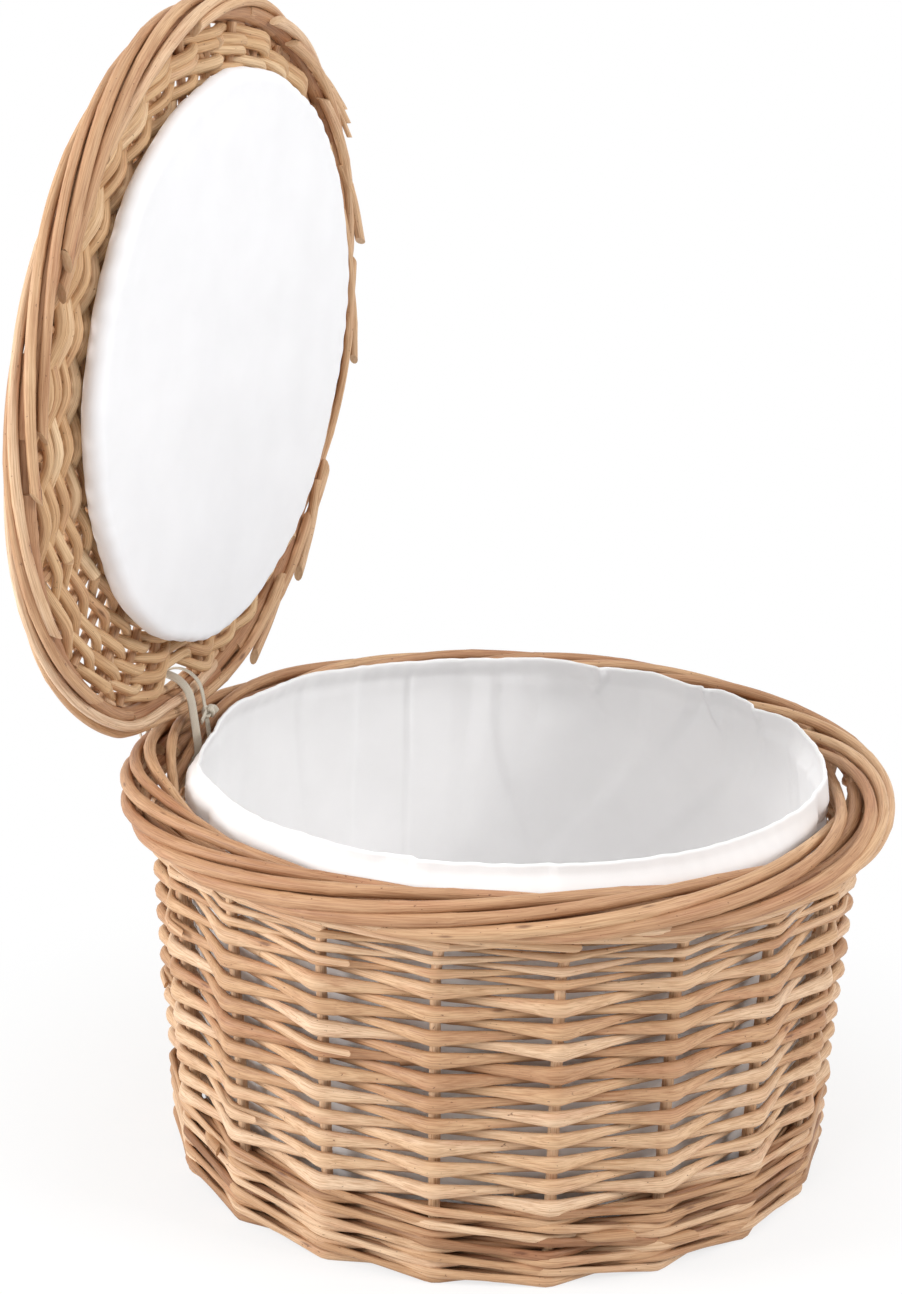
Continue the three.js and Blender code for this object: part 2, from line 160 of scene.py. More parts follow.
def distances(line: Array) -> Array:
    """How far along a line each of its points lies."""
    steps = np.linalg.norm(np.diff(line[:, :3], axis=0), axis=1)
    return np.concatenate([[0.0], np.cumsum(steps)])


def rounded(points: Sequence[Array], trim: float) -> Array:
    """The line through the points with its corners bent instead of sharp.

    Args:
        points: the corners, each with a relative thickness as a fourth value if it has one.
        trim: how far before and after a corner the bend starts and ends.

    Returns:
        The points of the bent line, one a row.
    """
    line = [points[0]]
    for before, here, after in zip(points, points[1:], points[2:]):
        back = float(np.linalg.norm((here - before)[:3]))
        ahead = float(np.linalg.norm((after - here)[:3]))
        reach = min(trim, 0.45 * back, 0.45 * ahead)
        start = here + (before - here) * reach / back
        end = here + (after - here) * reach / ahead
        for share in (0.0, 0.25, 0.5, 0.75, 1.0):
            rest = 1 - share
            line.append(rest ** 2 * start + 2 * share * rest * here + share ** 2 * end)
    line.append(points[-1])
    return np.array(line)


def resampled(line: Array, step: float) -> Array:
    """The line with points at even steps along it.

    Args:
        line: the points of the line.
        step: the length of a step.

    Returns:
        The new points, one a row.
    """
    lengths = distances(line)
    count = max(3, int(round(lengths[-1] / step)) + 1)
    places = np.linspace(0, lengths[-1], count)
    return np.column_stack([np.interp(places, lengths, column) for column in line.T])


def smoothed(line: Array, rounds: int = 1) -> Array:
    """The line with its inner points drawn towards their neighbours."""
    for _ in range(rounds):
        line[1:-1] = 0.25 * line[:-2] + 0.5 * line[1:-1] + 0.25 * line[2:]
    return line


def tube(rings: int, around: int, first: int = 0) -> list[tuple[int, ...]]:
    """The faces between closed rings of points that follow each other.

    Args:
        rings: how many rings there are.
        around: points in a ring.
        first: index of the first ring's first point.

    Returns:
        The faces.
    """
    faces = []
    for low in range(first, first + (rings - 1) * around, around):
        for step in range(around):
            after = (step + 1) % around
            faces.append((low + step, low + after, low + around + after, low + around + step))
    return faces


def made(name: str, points: Array, faces: list[tuple[int, ...]], material: Material,
         place: Matrix | None) -> Object:
    """Makes a smooth mesh object.

    Args:
        name: the object's name.
        points: its points in millimetres.
        faces: its faces.
        material: its finish.
        place: where its own frame lies, if it isn't the basket's.

    Returns:
        The new object.
    """
    mesh = bpy.data.meshes.new(name)
    mesh.from_pydata(points * MM, [], faces)
    if place is not None:
        mesh.transform(place)
    mesh.polygons.foreach_set("use_smooth", [True] * len(mesh.polygons))
    mesh.materials.append(material)
    piece = bpy.data.objects.new(name, mesh)
    bpy.context.scene.collection.objects.link(piece)
    return piece


def fitted(piece: Object, body: Body, node: str) -> Object:
    """Puts a piece in place of the node it stands for.

    Args:
        piece: the piece.
        body: the body it moves with.
        node: the node it stands for.

    Returns:
        The same piece.
    """
    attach(piece, body.value)
    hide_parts(node)
    log.info("%s: %d faces, with %s", piece.name, len(piece.data.polygons), body.value)
    return piece


# Rods


@dataclass
class Rod:
    """One willow rod, or a length of tape.

    Args:
        line: points of its centreline, with its relative thickness as a fourth value if it changes.
        butt: its radius at the start.
        tip: its radius at the end.
        end: how it ends.
        flat: its height across its width, for tape or a rod that is pressed flat.
        side: the direction in which its width lies at the start.
    """

    line: Array | list[Array]
    butt: float
    tip: float
    end: End = End.SQUARE
    flat: float = 1.0
    side: Array | None = None

    def radii(self, distance: Array, swell: Array | float,
              rng: Random) -> Array:
        """Its radius at distances along it, with the small waves and knots of willow.

        Args:
            distance: the distances.
            swell: its relative thickness there.
            rng: draws the waves and the knots' places.

        Returns:
            The radii.
        """
        tape_flat, wave, knot, knot_length = 0.5, 0.03, 0.09, 2.4
        radius = (self.butt + (self.tip - self.butt) * np.linspace(0, 1, len(distance))) * swell
        if self.flat > tape_flat:
            radius *= 1 + wave * np.sin(distance / rng.uniform(9, 17) + rng.uniform(0, 6))
            for place in np.arange(rng.uniform(5, 40), distance[-1], rng.uniform(38, 62)):
                radius *= 1 + knot * np.exp(-((distance - place) / knot_length) ** 2)
        return radius


class Bundle:
    """Rods gathered into one mesh, each with its own tone and its own run of grain."""

    def __init__(self, rng: Random, sides: int = 10, step: float = 3.2) -> None:
        """Starts empty.

        Args:
            rng: draws tones and small changes of thickness.
            sides: faces round a rod.
            step: length of a face along a rod.
        """
        self.rng = rng
        self.sides = sides
        self.step = step
        self.rows: list[Array] = []
        self.faces: list[tuple[int, ...]] = []
        self.count = 0

    def _frames(self, line: Array, side: Array | None) -> tuple[Array, ...]:
        """Directions along, across and above the rod at each point.

        Args:
            line: the rod's centreline.
            side: the direction across it at its start, or None for any.

        Returns:
            Three directions for each point, one a row.
        """
        along = np.gradient(line, axis=0)
        along /= np.linalg.norm(along, axis=1, keepdims=True)
        across = np.empty_like(along)
        start = side if side is not None else np.cross(along[0], [0.13, 0.21, 0.97])
        last = unit(start - along[0] * np.dot(start, along[0]))
        for index, direction in enumerate(along):
            last = unit(last - direction * np.dot(last, direction))
            across[index] = last
        return along, across, np.cross(along, across)

    def _push(self, points: Array, grain: Array, tone: float, cut: float) -> int:
        """Adds points and returns the index of the first.

        Args:
            points: the points.
            grain: their places in the grain.
            tone: the rod's tone.
            cut: 1 on a cut end, and 0 elsewhere.

        Returns:
            The index.
        """
        first = self.count
        self.rows.append(np.hstack([points, grain, np.tile([tone, cut], (len(points), 1))]))
        self.count += len(points)
        return first

    def add(self, rod: Rod, tone: float | None = None) -> None:
        """Adds a rod, with a face on each end.

        Args:
            rod: the rod.
            tone: 0 for the darkest willow and 1 for the palest, or None for any.
        """
        line = resampled(np.asarray(rod.line, dtype=float), self.step)
        swell = line[:, 3] if line.shape[1] > 3 else 1.0
        line = line[:, :3]
        tone = float(self.rng.beta(1.7, 1.6)) if tone is None else tone
        distance = distances(line)
        radius = rod.radii(distance, swell, self.rng)
        along, across, above = self._frames(line, rod.side)
        turn = 2 * np.pi * (np.arange(self.sides) + 0.5) / self.sides
        wide, high = radius[:, None] * np.cos(turn), (radius * rod.flat)[:, None] * np.sin(turn)
        rings = line[:, None] + wide[..., None] * across[:, None] + high[..., None] * above[:, None]
        if rod.end is End.CUT:
            slant = 1.5
            rings[-1] += (slant * radius[-1] * np.cos(turn))[:, None] * along[-1]
        run = distance[:, None] + self.rng.uniform(0, 900) + 0 * wide
        grain = np.stack([wide, radius[:, None] * np.sin(turn), run], axis=-1)
        first = self._push(rings.reshape(-1, 3), grain.reshape(-1, 3), tone, 0.0)
        self.faces += tube(len(line), self.sides, first)
        for place, order in ((0, -1), (-1, 1)):
            cap = self._push(rings[place], grain[place], tone, 1.0)
            self.faces.append(tuple(range(cap, cap + self.sides))[::order])

    def build(self, name: str, material: Material, place: Matrix | None = None) -> Object:
        """Makes the mesh object, with the grain, tone and cut that its finish reads.

        Args:
            name: the object's name.
            material: its finish.
            place: where its own frame lies, if it isn't the basket's.

        Returns:
            The new object.
        """
        points, grain, tone, cut = np.split(np.concatenate(self.rows), (3, 6, 7), axis=1)
        piece = made(name, points, self.faces, material, place)
        for label, values in (("grain", grain), ("tone", tone), ("cut", cut)):
            kind, key = ("FLOAT_VECTOR", "vector") if label == "grain" else ("FLOAT", "value")
            attribute = piece.data.attributes.new(label, kind, "POINT")
            attribute.data.foreach_set(key, values.ravel())
        return piece


# Finishes


class Graph:
    """The nodes of a material or of the surround, made one by one."""

    def __init__(self, owner: Material | bpy.types.World) -> None:
        """Starts without nodes."""
        owner.use_nodes = True
        self.owner = owner
        self.tree = owner.node_tree
        self.tree.nodes.clear()

    def feed(self, node: Node, values: dict[int | str, object]) -> Node:
        """Links or sets some of a node's sockets.

        Args:
            node: the node.
            values: a socket or a plain value for each place or name among its inputs.

        Returns:
            The same node.
        """
        for key, value in values.items():
            if isinstance(value, NodeSocket):
                self.tree.links.new(value, node.inputs[key])
            else:
                node.inputs[key].default_value = value
        return node

    def node(self, kind: str, **values: object) -> Node:
        """Adds a node.

        Args:
            kind: its type, without the word in front that they all share.
            values: its settings, in small letters, and its sockets, with capitals.

        Returns:
            The new node.
        """
        new = self.tree.nodes.new("ShaderNode" + kind)
        for key, value in values.items():
            if key[0].islower():
                setattr(new, key, value)
            else:
                self.feed(new, {key.replace("_", " "): value})
        return new

    def read(self, name: str, output: str = "Fac") -> NodeSocket:
        """A value kept on the mesh."""
        return self.node("Attribute", attribute_name=name).outputs[output]

    def maths(self, operation: str, first: object, second: object) -> NodeSocket:
        """The result of a sum on two sockets or numbers."""
        return self.feed(self.node("Math", operation=operation), {0: first, 1: second}).outputs[0]

    def times(self, first: object, second: object) -> NodeSocket:
        """Two values multiplied."""
        return self.maths("MULTIPLY", first, second)

    def plus(self, first: object, second: object) -> NodeSocket:
        """Two values added."""
        return self.maths("ADD", first, second)

    def scaled(self, vector: NodeSocket, across: float, along: float) -> NodeSocket:
        """Coordinates scaled across and along their third axis."""
        return self.node("Mapping", Vector=vector, Scale=(across, across, along)).outputs[0]

    def noise(self, vector: NodeSocket, scale: float, detail: float) -> NodeSocket:
        """Noise at a scale."""
        return self.node("TexNoise", Vector=vector, Scale=scale, Detail=detail).outputs["Fac"]

    def drawn(self, vector: NodeSocket, across: float, along: float, detail: float) -> NodeSocket:
        """Noise that is drawn out along the third axis."""
        return self.noise(self.scaled(vector, across, along), 1.0, detail)

    def ramp(self, value: NodeSocket, *stops: tuple[float, Colour]) -> NodeSocket:
        """Colours laid along a value.

        Args:
            value: the value.
            stops: places along it, each with its colour.

        Returns:
            The colour at the value.
        """
        new = self.node("ValToRGB", Fac=value)
        elements = new.color_ramp.elements
        while len(elements) < len(stops):
            elements.new(0.5)
        for element, (place, colour) in zip(elements, stops):
            element.position = place
            element.color = colour
        return new.outputs["Color"]

    def fade(self, value: NodeSocket, low: float, high: float) -> NodeSocket:
        """0 below low and 1 above high."""
        new = self.node("MapRange", interpolation_type="SMOOTHSTEP", Value=value,
                        From_Min=low, From_Max=high)
        return new.outputs["Result"]

    def mix(self, share: object, first: object, second: object, blend: str = "MIX") -> NodeSocket:
        """Two colours mixed."""
        new = self.node("Mix", data_type="RGBA", blend_type=blend)
        return self.feed(new, {0: share, 6: first, 7: second}).outputs[2]

    def bump(self, height: NodeSocket, strength: float, distance: float) -> NodeSocket:
        """A surface normal from a height."""
        new = self.node("Bump", Height=height, Strength=strength, Distance=distance)
        return new.outputs["Normal"]

    def both(self, share: object, first: Node, second: Node) -> Node:
        """Two shaders mixed."""
        shaders = {1: first.outputs[0], 2: second.outputs[0]}
        return self.feed(self.node("MixShader", Fac=share), shaders)

    def seen(self) -> NodeSocket:
        """1 for what the camera sees, straight or by a mirror or a pane, and 0 for other light."""
        rays = self.node("LightPath").outputs
        straight = self.maths("MAXIMUM", rays["Is Camera Ray"], rays["Is Glossy Ray"])
        return self.maths("MAXIMUM", straight, rays["Is Transmission Ray"])

    def done(self, shader: Node, kind: str = "OutputMaterial") -> Material | bpy.types.World:
        """Joins the shader to an output and returns the material or the surround."""
        self.node(kind, Surface=shader.outputs[0])
        return self.owner


@dataclass(frozen=True)
class WillowFinish:
    """Peeled buff willow: warm tan with fine fibres, bud scars and small dark flecks.

    Args:
        name: the material's name.
        dark: the colour of the darkest rods.
        middle: the colour of most rods.
        pale: the colour of the palest rods.
        rose: the colour of the rosy stretches.
        shade: the colour between the fibres.
        fleck: the colour of the flecks and scars.
        pith: the colour of a cut end.
        pith_ring: the colour of the rings in a cut end.
    """

    name: str = "willow"
    dark: Colour = linear(170, 122, 88)
    middle: Colour = linear(213, 175, 136)
    pale: Colour = linear(234, 205, 174)
    rose: Colour = linear(196, 140, 108)
    shade: Colour = linear(196, 172, 152)
    fleck: Colour = linear(92, 54, 36)
    pith: Colour = linear(228, 200, 166)
    pith_ring: Colour = linear(186, 146, 106)

    def material(self) -> Material:
        """Builds the material."""
        graph = Graph(bpy.data.materials.new(self.name))
        grain = graph.read("grain", "Vector")
        slow = graph.drawn(grain, 0.12, 0.016, 4.0)
        level = graph.plus(graph.times(graph.read("tone"), 0.55), graph.times(slow, 0.55))
        colour = graph.ramp(level, (0.22, self.dark), (0.56, self.middle), (0.9, self.pale))
        rosy = graph.fade(graph.drawn(grain, 0.2, 0.03, 2.0), 0.5, 0.72)
        colour = graph.mix(graph.times(rosy, 0.32), colour, self.rose)
        fibres = graph.drawn(grain, 2.6, 0.07, 5.0)
        streak = graph.ramp(fibres, (0.3, self.shade), (0.6, linear(255, 255, 255)))
        colour = graph.mix(0.8, colour, streak, "MULTIPLY")
        flecks = graph.fade(graph.drawn(grain, 0.85, 0.55, 2.0), 0.69, 0.76)
        colour = graph.mix(graph.times(flecks, 0.75), colour, self.fleck)
        scars = graph.node("TexVoronoi", Vector=graph.scaled(grain, 0.09, 0.021), Scale=1.0)
        scar = graph.maths("SUBTRACT", 1.0, graph.fade(scars.outputs["Distance"], 0.02, 0.085))
        colour = graph.mix(graph.times(scar, 0.7), colour, self.fleck)
        ends = graph.mix(graph.drawn(grain, 0.9, 0.0, 2.0), self.pith, self.pith_ring)
        relief = graph.plus(fibres, graph.times(slow, 1.5))
        relief = graph.maths("SUBTRACT", relief, graph.times(flecks, 0.5))
        return graph.done(graph.node(
            "BsdfPrincipled",
            Base_Color=graph.mix(graph.read("cut"), colour, ends),
            Roughness=graph.plus(graph.times(fibres, 0.25), 0.4),
            Specular_IOR_Level=0.38,
            Normal=graph.bump(relief, 0.32, 0.0006),
        ))


@dataclass(frozen=True)
class CottonFinish:
    """Plain white cotton that lets a little light through.

    Args:
        name: the material's name.
        colour: its colour.
        shade: the colour of its duller patches.
        thread: width of a thread in millimetres.
        glow: share of the light that passes through.
    """

    name: str = "cotton"
    colour: Colour = linear(247, 246, 246)
    shade: Colour = linear(246, 246, 246)
    thread: float = 0.35
    glow: float = 0.05

    def material(self) -> Material:
        """Builds the material."""
        graph = Graph(bpy.data.materials.new(self.name))
        places = graph.node("TexCoord").outputs["Object"]
        threads = graph.noise(places, 1 / (self.thread * MM), 1.0)
        patches = graph.noise(places, 34.0, 3.0)
        creases = graph.drawn(places, 60, 22, 4.0)
        tint = graph.ramp(patches, (0.3, self.shade), (0.7, linear(255, 255, 255)))
        colour = graph.mix(0.5, self.colour, tint, "MULTIPLY")
        height = graph.plus(graph.times(threads, 0.1), graph.times(creases, 0.5))
        surface = graph.node("BsdfPrincipled", Base_Color=colour, Roughness=0.85,
                             Sheen_Weight=0.12, Normal=graph.bump(height, 0.22, 0.0012))
        through = graph.node("BsdfTranslucent", Color=colour)
        return graph.done(graph.both(self.glow, surface, through))


@dataclass(frozen=True)
class TapeFinish:
    """Cream woven tape.

    Args:
        name: the material's name.
        colour: its colour.
        shade: the colour between its threads.
    """

    name: str = "tape"
    colour: Colour = linear(234, 228, 214)
    shade: Colour = linear(204, 192, 172)

    def material(self) -> Material:
        """Builds the material."""
        graph = Graph(bpy.data.materials.new(self.name))
        grain = graph.read("grain", "Vector")
        cross = graph.node("TexWave", bands_direction="Z", Vector=grain, Scale=1.3, Distortion=0.4)
        length = graph.node("TexWave", bands_direction="X", Vector=grain, Scale=1.1)
        weave = graph.times(cross.outputs["Fac"], length.outputs["Fac"])
        return graph.done(graph.node(
            "BsdfPrincipled",
            Base_Color=graph.mix(graph.fade(weave, 0.05, 0.6), self.shade, self.colour),
            Roughness=0.8,
            Sheen_Weight=0.2,
            Normal=graph.bump(weave, 0.5, 0.0003),
        ))


# The basket's wall


@dataclass
class Shape:
    """The round shape that the sub-assemblies share.

    Args:
        bottom_radius: outer radius of the wall at the floor.
        top_radius: outer radius of the wall at its top.
        body_top: height of the wall's top, below the border.
        inset: how far the stakes stand inside the wall's outer face.
        stake_count: number of stakes.
        stake_radius: radius of a stake.
        seam: azimuth of the first stake.
        ring_radius: radius of the border's middle.
        border_z: height of the border's middle.
        border_half_height: half height of the border.
        border_half_width: half width of the border.
        top: height of the border's top.
        hinge_azimuth: azimuth of the hinge.
        hinge_z: height of the hinge line.
        open_angle: how far the lid is open, in degrees.
        lid_ring_radius: radius of the lid's border.
        lid_bulge: how far the lid's edge stands out of round.
    """

    bottom_radius: float = 130.5
    top_radius: float = 138.5
    body_top: float = 135.47
    inset: float = 6.67
    stake_count: int = 19
    stake_radius: float = 2.1
    seam: float = 126.2
    ring_radius: float = 137.7
    border_z: float = 147.106
    border_half_height: float = 9.386
    border_half_width: float = 12.3
    top: float = 156.492
    hinge_azimuth: float = 159.7
    hinge_z: float = 165.987
    open_angle: float = 86.5
    lid_ring_radius: float = 133.305
    lid_bulge: float = 6.0

    def lid_edge(self, angle: float) -> float:
        """How far the lid's edge stands out of round where the lashing has pulled it."""
        angle = turned(angle)
        return self.lid_bulge * smoothstep(angle, 9, 26) * (1 - smoothstep(angle, 48, 115))

    def stake_circle(self, z: float) -> float:
        """Radius of the circle on which the stakes stand, at a height."""
        slope = (self.top_radius - self.bottom_radius) / self.body_top
        return self.bottom_radius + slope * z - self.inset

    def bay(self) -> float:
        """The angle from a stake to the next."""
        return FULL_TURN / self.stake_count

    def stake_azimuth(self, stroke: float) -> float:
        """Azimuth of a stake, counted from the first one."""
        return self.seam + self.bay() * stroke

    def hinge_place(self) -> Matrix:
        """Where the lashing's own frame lies, in metres: X outward and Y along the hinge."""
        hinge = Vector(polar(self.ring_radius, self.hinge_azimuth, self.hinge_z)) * MM
        turn = Matrix.Rotation(math.radians(self.hinge_azimuth), 4, "Z")
        return Matrix.Translation(hinge) @ turn

    def lid_place(self) -> Matrix:
        """Where the lid's own frame lies, in metres: its middle, with its outside up when shut."""
        swing = Matrix.Rotation(math.radians(self.open_angle), 4, "Y")
        middle = Matrix.Translation(Vector((-self.lid_ring_radius * MM, 0, 0)))
        return self.hinge_place() @ swing @ middle


@dataclass
class Part:
    """A sub-assembly of the basket.

    Args:
        shape: the basket's shape.
        finish: what it is made of.
    """

    shape: Shape
    finish: Material


@dataclass
class WovenWall(Part):
    """The wall: a waled foot and many rounds of randing on upright stakes.

    Args:
        foot_finish: the darker willow of the foot, whose wide spread of tones is partly painted
            shade and painted highlight.
        foot_height: height of the foot.
        foot_rounds: rounds of three-rod wale in it.
        rows: full rows of randing.
        fine_rows: thin rows just below the border.
        fine_pitch: height of one of them.
        climb_start: share of a round after which the rod climbs to the next row.
        wale_rod: radius of a rod of the foot.
        wale_drop: how far a rod of the foot goes down, or up, from the middle of its round.
        bend: length over which a rod bends on each side of a stake.
        fill: a rod's radius for the height of its row.
        pressed: how much wider a rod is where it is pressed round a stake.
        behind: how much slimmer it is behind a stake.
        drawn: how much slimmer it is half way between two stakes.
        flat: how thick a rod is, across the wall, for its height.
        clear: how far a rod stands off a stake that it passes in front.
        wave: how far the rows rise and sink on their way round.
        sway: how far the rods lie in and out of their circle.
        level_below: heights between which the rows begin to wave, above the floor.
        level_above: heights between which they are level again, below the border.
        tuck: share of a bay by which a rod goes on past its first and last stake.
        tails: strokes at which a rod's tip shows on the outside.
        stubs: azimuth and height of the cut ends that show in the foot.
    """

    foot_finish: Material
    foot_height: float = 30.59
    foot_rounds: int = 5
    rows: int = 20
    fine_rows: int = 6
    fine_pitch: float = 2.55
    climb_start: float = 0.75
    wale_rod: float = 1.85
    wale_drop: float = 2.3
    bend: float = 2.1
    fill: float = 0.525
    pressed: float = 1.38
    behind: float = 0.92
    drawn: float = 0.78
    flat: float = 0.7
    clear: float = 0.4
    wave: float = 0.8
    sway: float = 0.35
    level_below: tuple[float, float] = (4, 30)
    level_above: tuple[float, float] = (105, 132)
    tuck: float = 0.3
    tails: tuple[int, ...] = (9, 23, 31, 40)
    stubs: tuple[tuple[float, float], ...] = (
        (-70.0, 19.5), (-58.5, 13.0), (-143.0, 26.0), (64.0, 18.0),
    )

    def __post_init__(self) -> None:
        """Works out the rows' heights."""
        left = self.shape.body_top - self.foot_height - self.fine_rows * self.fine_pitch
        pitches = [left / self.rows] * self.rows + [self.fine_pitch] * self.fine_rows
        self.pitches = np.array(pitches)
        self.middles = self.foot_height + np.cumsum(self.pitches) - self.pitches / 2
        self.lift = Wander(11, height=70, waves=8)
        self.swell = Wander(12, height=40, waves=7)

    def row_of(self, stroke: float) -> float:
        """The row, and share of a row, that the weaving has reached at a stroke."""
        turn, share = divmod(stroke / self.shape.stake_count, 1.0)
        return turn + max(0.0, (share - self.climb_start) / (1 - self.climb_start))

    def thickness(self, stroke: float) -> float:
        """Radius of a rod that fills its row at a stroke."""
        row = min(self.row_of(stroke), len(self.pitches) - 1)
        return self.fill * float(np.interp(row, np.arange(len(self.pitches)), self.pitches))

    def kink(self, stroke: float, outside: bool, above: float = 0.0) -> Array:
        """The point where a rod passes a stake.

        Args:
            stroke: which stake, counted on from the first above the foot.
            outside: whether it passes in front of the stake.
            above: how far above its row it lies.

        Returns:
            The point.
        """
        azimuth = self.shape.stake_azimuth(stroke)
        row = self.row_of(stroke)
        z = float(np.interp(row, np.arange(len(self.middles)), self.middles)) + above
        free = smoothstep(z, *self.level_below) * (1 - smoothstep(z, *self.level_above))
        z += self.wave * free * self.lift.at(azimuth, z)
        wide = self.pressed if outside else self.behind
        reach = self.shape.stake_radius + self.thickness(stroke) * self.flat * wide
        radius = self.shape.stake_circle(z) + (reach + self.clear if outside else -reach)
        return polar(radius + self.sway * self.swell.at(azimuth, z), azimuth, z)

    def corner(self, stroke: int, outside: bool, rng: Random) -> Array:
        """The corner of a rod at a stroke, pressed flat and wider where it passes in front."""
        point = self.kink(stroke, outside, rng.uniform(-0.3, 0.3))
        return np.append(point, self.pressed if outside else self.behind)

    def round_height(self, level: int) -> float:
        """Height of the middle of a round of the foot."""
        return self.foot_height / self.foot_rounds * (level + 0.5)

    def wale_corner(self, stroke: int, level: int, rng: Random) -> Array:
        """The corner of a rod of the foot: down across two stakes, then behind the third.

        Args:
            stroke: which stake, counted on round the basket.
            level: which round of the foot, from 0.
            rng: draws the small differences between rods.

        Returns:
            The corner, with the rod's relative thickness.
        """
        place = stroke % 3
        z = self.round_height(level) + 0.3 + (self.wale_drop, -self.wale_drop, 0.0)[place]
        z += rng.uniform(-1.2, 1.2)
        reach = self.shape.stake_radius + self.wale_rod
        stand = (reach + 1.5, reach + 0.1, 0.6 - reach)[place] + rng.uniform(-0.3, 0.3)
        azimuth = self.shape.stake_azimuth(stroke) - self.shape.bay() * level
        point = polar(self.shape.stake_circle(z) + stand, azimuth, max(z, self.wale_rod))
        return np.append(point, (1.05, 1.25, 0.95)[place])

    def lay(self, bundle: Bundle, corners: list[Array], size: float) -> None:
        """Adds a rod through its corners, a little slimmer between the stakes.

        Args:
            bundle: where the rod goes.
            corners: its points at the stakes.
            size: its radius.
        """
        points = corners[:1]
        for here, ahead in zip(corners, corners[1:]):
            middle = (here + ahead) / 2
            middle[3] = self.drawn
            points += [middle, ahead]
        line = rounded(points, self.bend)
        bundle.add(Rod(line, size * 1.08, size * 0.9, flat=self.flat, side=UP))

    def run(self, bundle: Bundle, first: int, last: int) -> None:
        """Weaves rods over one stake and under the next, one after the other.

        Args:
            bundle: where the rods go.
            first: the stroke of the first rod's start.
            last: the stroke of the last rod's end.
        """
        rng = bundle.rng
        shortest, longest, fewest = 20, 28, 9
        start = first
        while start < last:
            end = min(last, start + int(rng.integers(shortest, longest + 1)))
            if last - end < fewest:
                end = last
            if end % 2 == 0 and end < last:
                end += 1
            strokes = range(start, end + 1)
            corners = [self.corner(stroke, stroke % 2 == 0, rng) for stroke in strokes]
            if start > first:
                before = self.corner(start - 1, True, rng)
                corners.insert(0, corners[0] + self.tuck * (before - corners[0]))
            after = self.corner(end + 1, end % 2 == 1, rng)
            corners.append(corners[-1] + self.tuck * (after - corners[-1]))
            self.lay(bundle, corners, self.thickness((start + end) / 2) * rng.uniform(0.94, 1.06))
            start = end

    def wale(self, bundle: Bundle, level: int) -> None:
        """Weaves one round of the foot, with three rods' worth of strokes at one height.

        Args:
            bundle: where the rods go.
            level: which round of the foot, from 0.
        """
        rng = bundle.rng
        length = 15
        start = int(rng.integers(0, 6)) * 3 + 2
        total = start + 3 * self.shape.stake_count
        for first in range(start, total, length):
            strokes = range(first, min(first + length, total) + 1)
            corners = [self.wale_corner(stroke, level, rng) for stroke in strokes]
            self.lay(bundle, corners, self.wale_rod * rng.uniform(0.88, 1.08))

    def stub(self, bundle: Bundle, azimuth: float, z: float) -> None:
        """The cut butt end of a rod that comes out from behind a stake.

        Args:
            bundle: where the rod goes.
            azimuth: where its cut end is.
            z: height of its cut end.
        """
        circle = self.shape.stake_circle(z)
        steps = ((-3.5, -11, -1.0), (4.4, -5, -0.3), (6.6, 0, 0.4))
        line = [polar(circle + out, azimuth + turn, z + up) for out, turn, up in steps]
        bundle.add(Rod(rounded(line, 5.0), 1.9, 2.2, end=End.CUT), 0.4)

    def tail(self, bundle: Bundle, stroke: int) -> None:
        """A rod's thin tip that comes out of the weave and ends in front of a stake.

        Args:
            bundle: where the rod goes.
            stroke: the stake behind which it last passes.
        """
        inside = self.kink(stroke, False, 0.7)
        outward = unit(self.kink(stroke + 1, True) * [1, 1, 0])
        front = self.kink(stroke + 1, True, 1.5) + 1.6 * outward
        end = front + 0.28 * (self.kink(stroke + 2, True, 1.3) - front)
        bundle.add(Rod(rounded([inside, front, end], 5.0), 1.7, 1.2, end=End.CUT), 0.75)

    def hoop(self, bundle: Bundle, z: float, inset: float, size: float, tone: float) -> None:
        """A hidden rod all round, which closes the chinks between the stakes.

        Args:
            bundle: where the rod goes.
            z: its height.
            inset: how far it lies inside the stakes' circle.
            size: its radius.
            tone: its tone.
        """
        turns = range(0, 361, 4)
        line = [polar(self.shape.stake_circle(z) - inset, turn, z) for turn in turns]
        bundle.add(Rod(line, size, size), tone)

    def foot(self) -> None:
        """Builds the foot, in the three lengths that the part has."""
        for index, levels in enumerate(((0, 1), (2, 3), (4,))):
            bundle = Bundle(np.random.default_rng(SEED + index), step=2.6)
            for level in levels:
                self.wale(bundle, level)
                self.hoop(bundle, self.round_height(level), 0.0, 1.6, 0.1)
            for azimuth, z in self.stubs[index::3]:
                self.stub(bundle, azimuth, z)
            piece = bundle.build(f"foot_rods_{index + 1:02d}", self.foot_finish)
            fitted(piece, Body.BASKET, f"upsett_weaver_{index + 1:02d}")

    def randing(self) -> None:
        """Builds the three bands of the randing."""
        count = self.shape.stake_count
        total = self.rows + self.fine_rows
        marks = [round(share * total / 3) * count for share in range(4)]
        marks[-1] -= count - int(self.climb_start * count)
        for index, name in enumerate(("lower", "middle", "upper")):
            bundle = Bundle(np.random.default_rng(SEED + 10 + index), step=2.6)
            self.run(bundle, marks[index], marks[index + 1])
            for step in self.tails:
                stroke = marks[index] + count * (step % 7) + step
                self.tail(bundle, stroke + (stroke + 1) % 2)
            if name == "upper":
                self.hoop(bundle, self.shape.body_top + 1.4, 1.2, 2.2, 0.3)
            piece = bundle.build(f"wall_rods_{name}", self.finish)
            fitted(piece, Body.BASKET, f"siding_weaver_{name}")

    def build(self) -> None:
        """Builds the foot and the randing."""
        self.foot()
        self.randing()


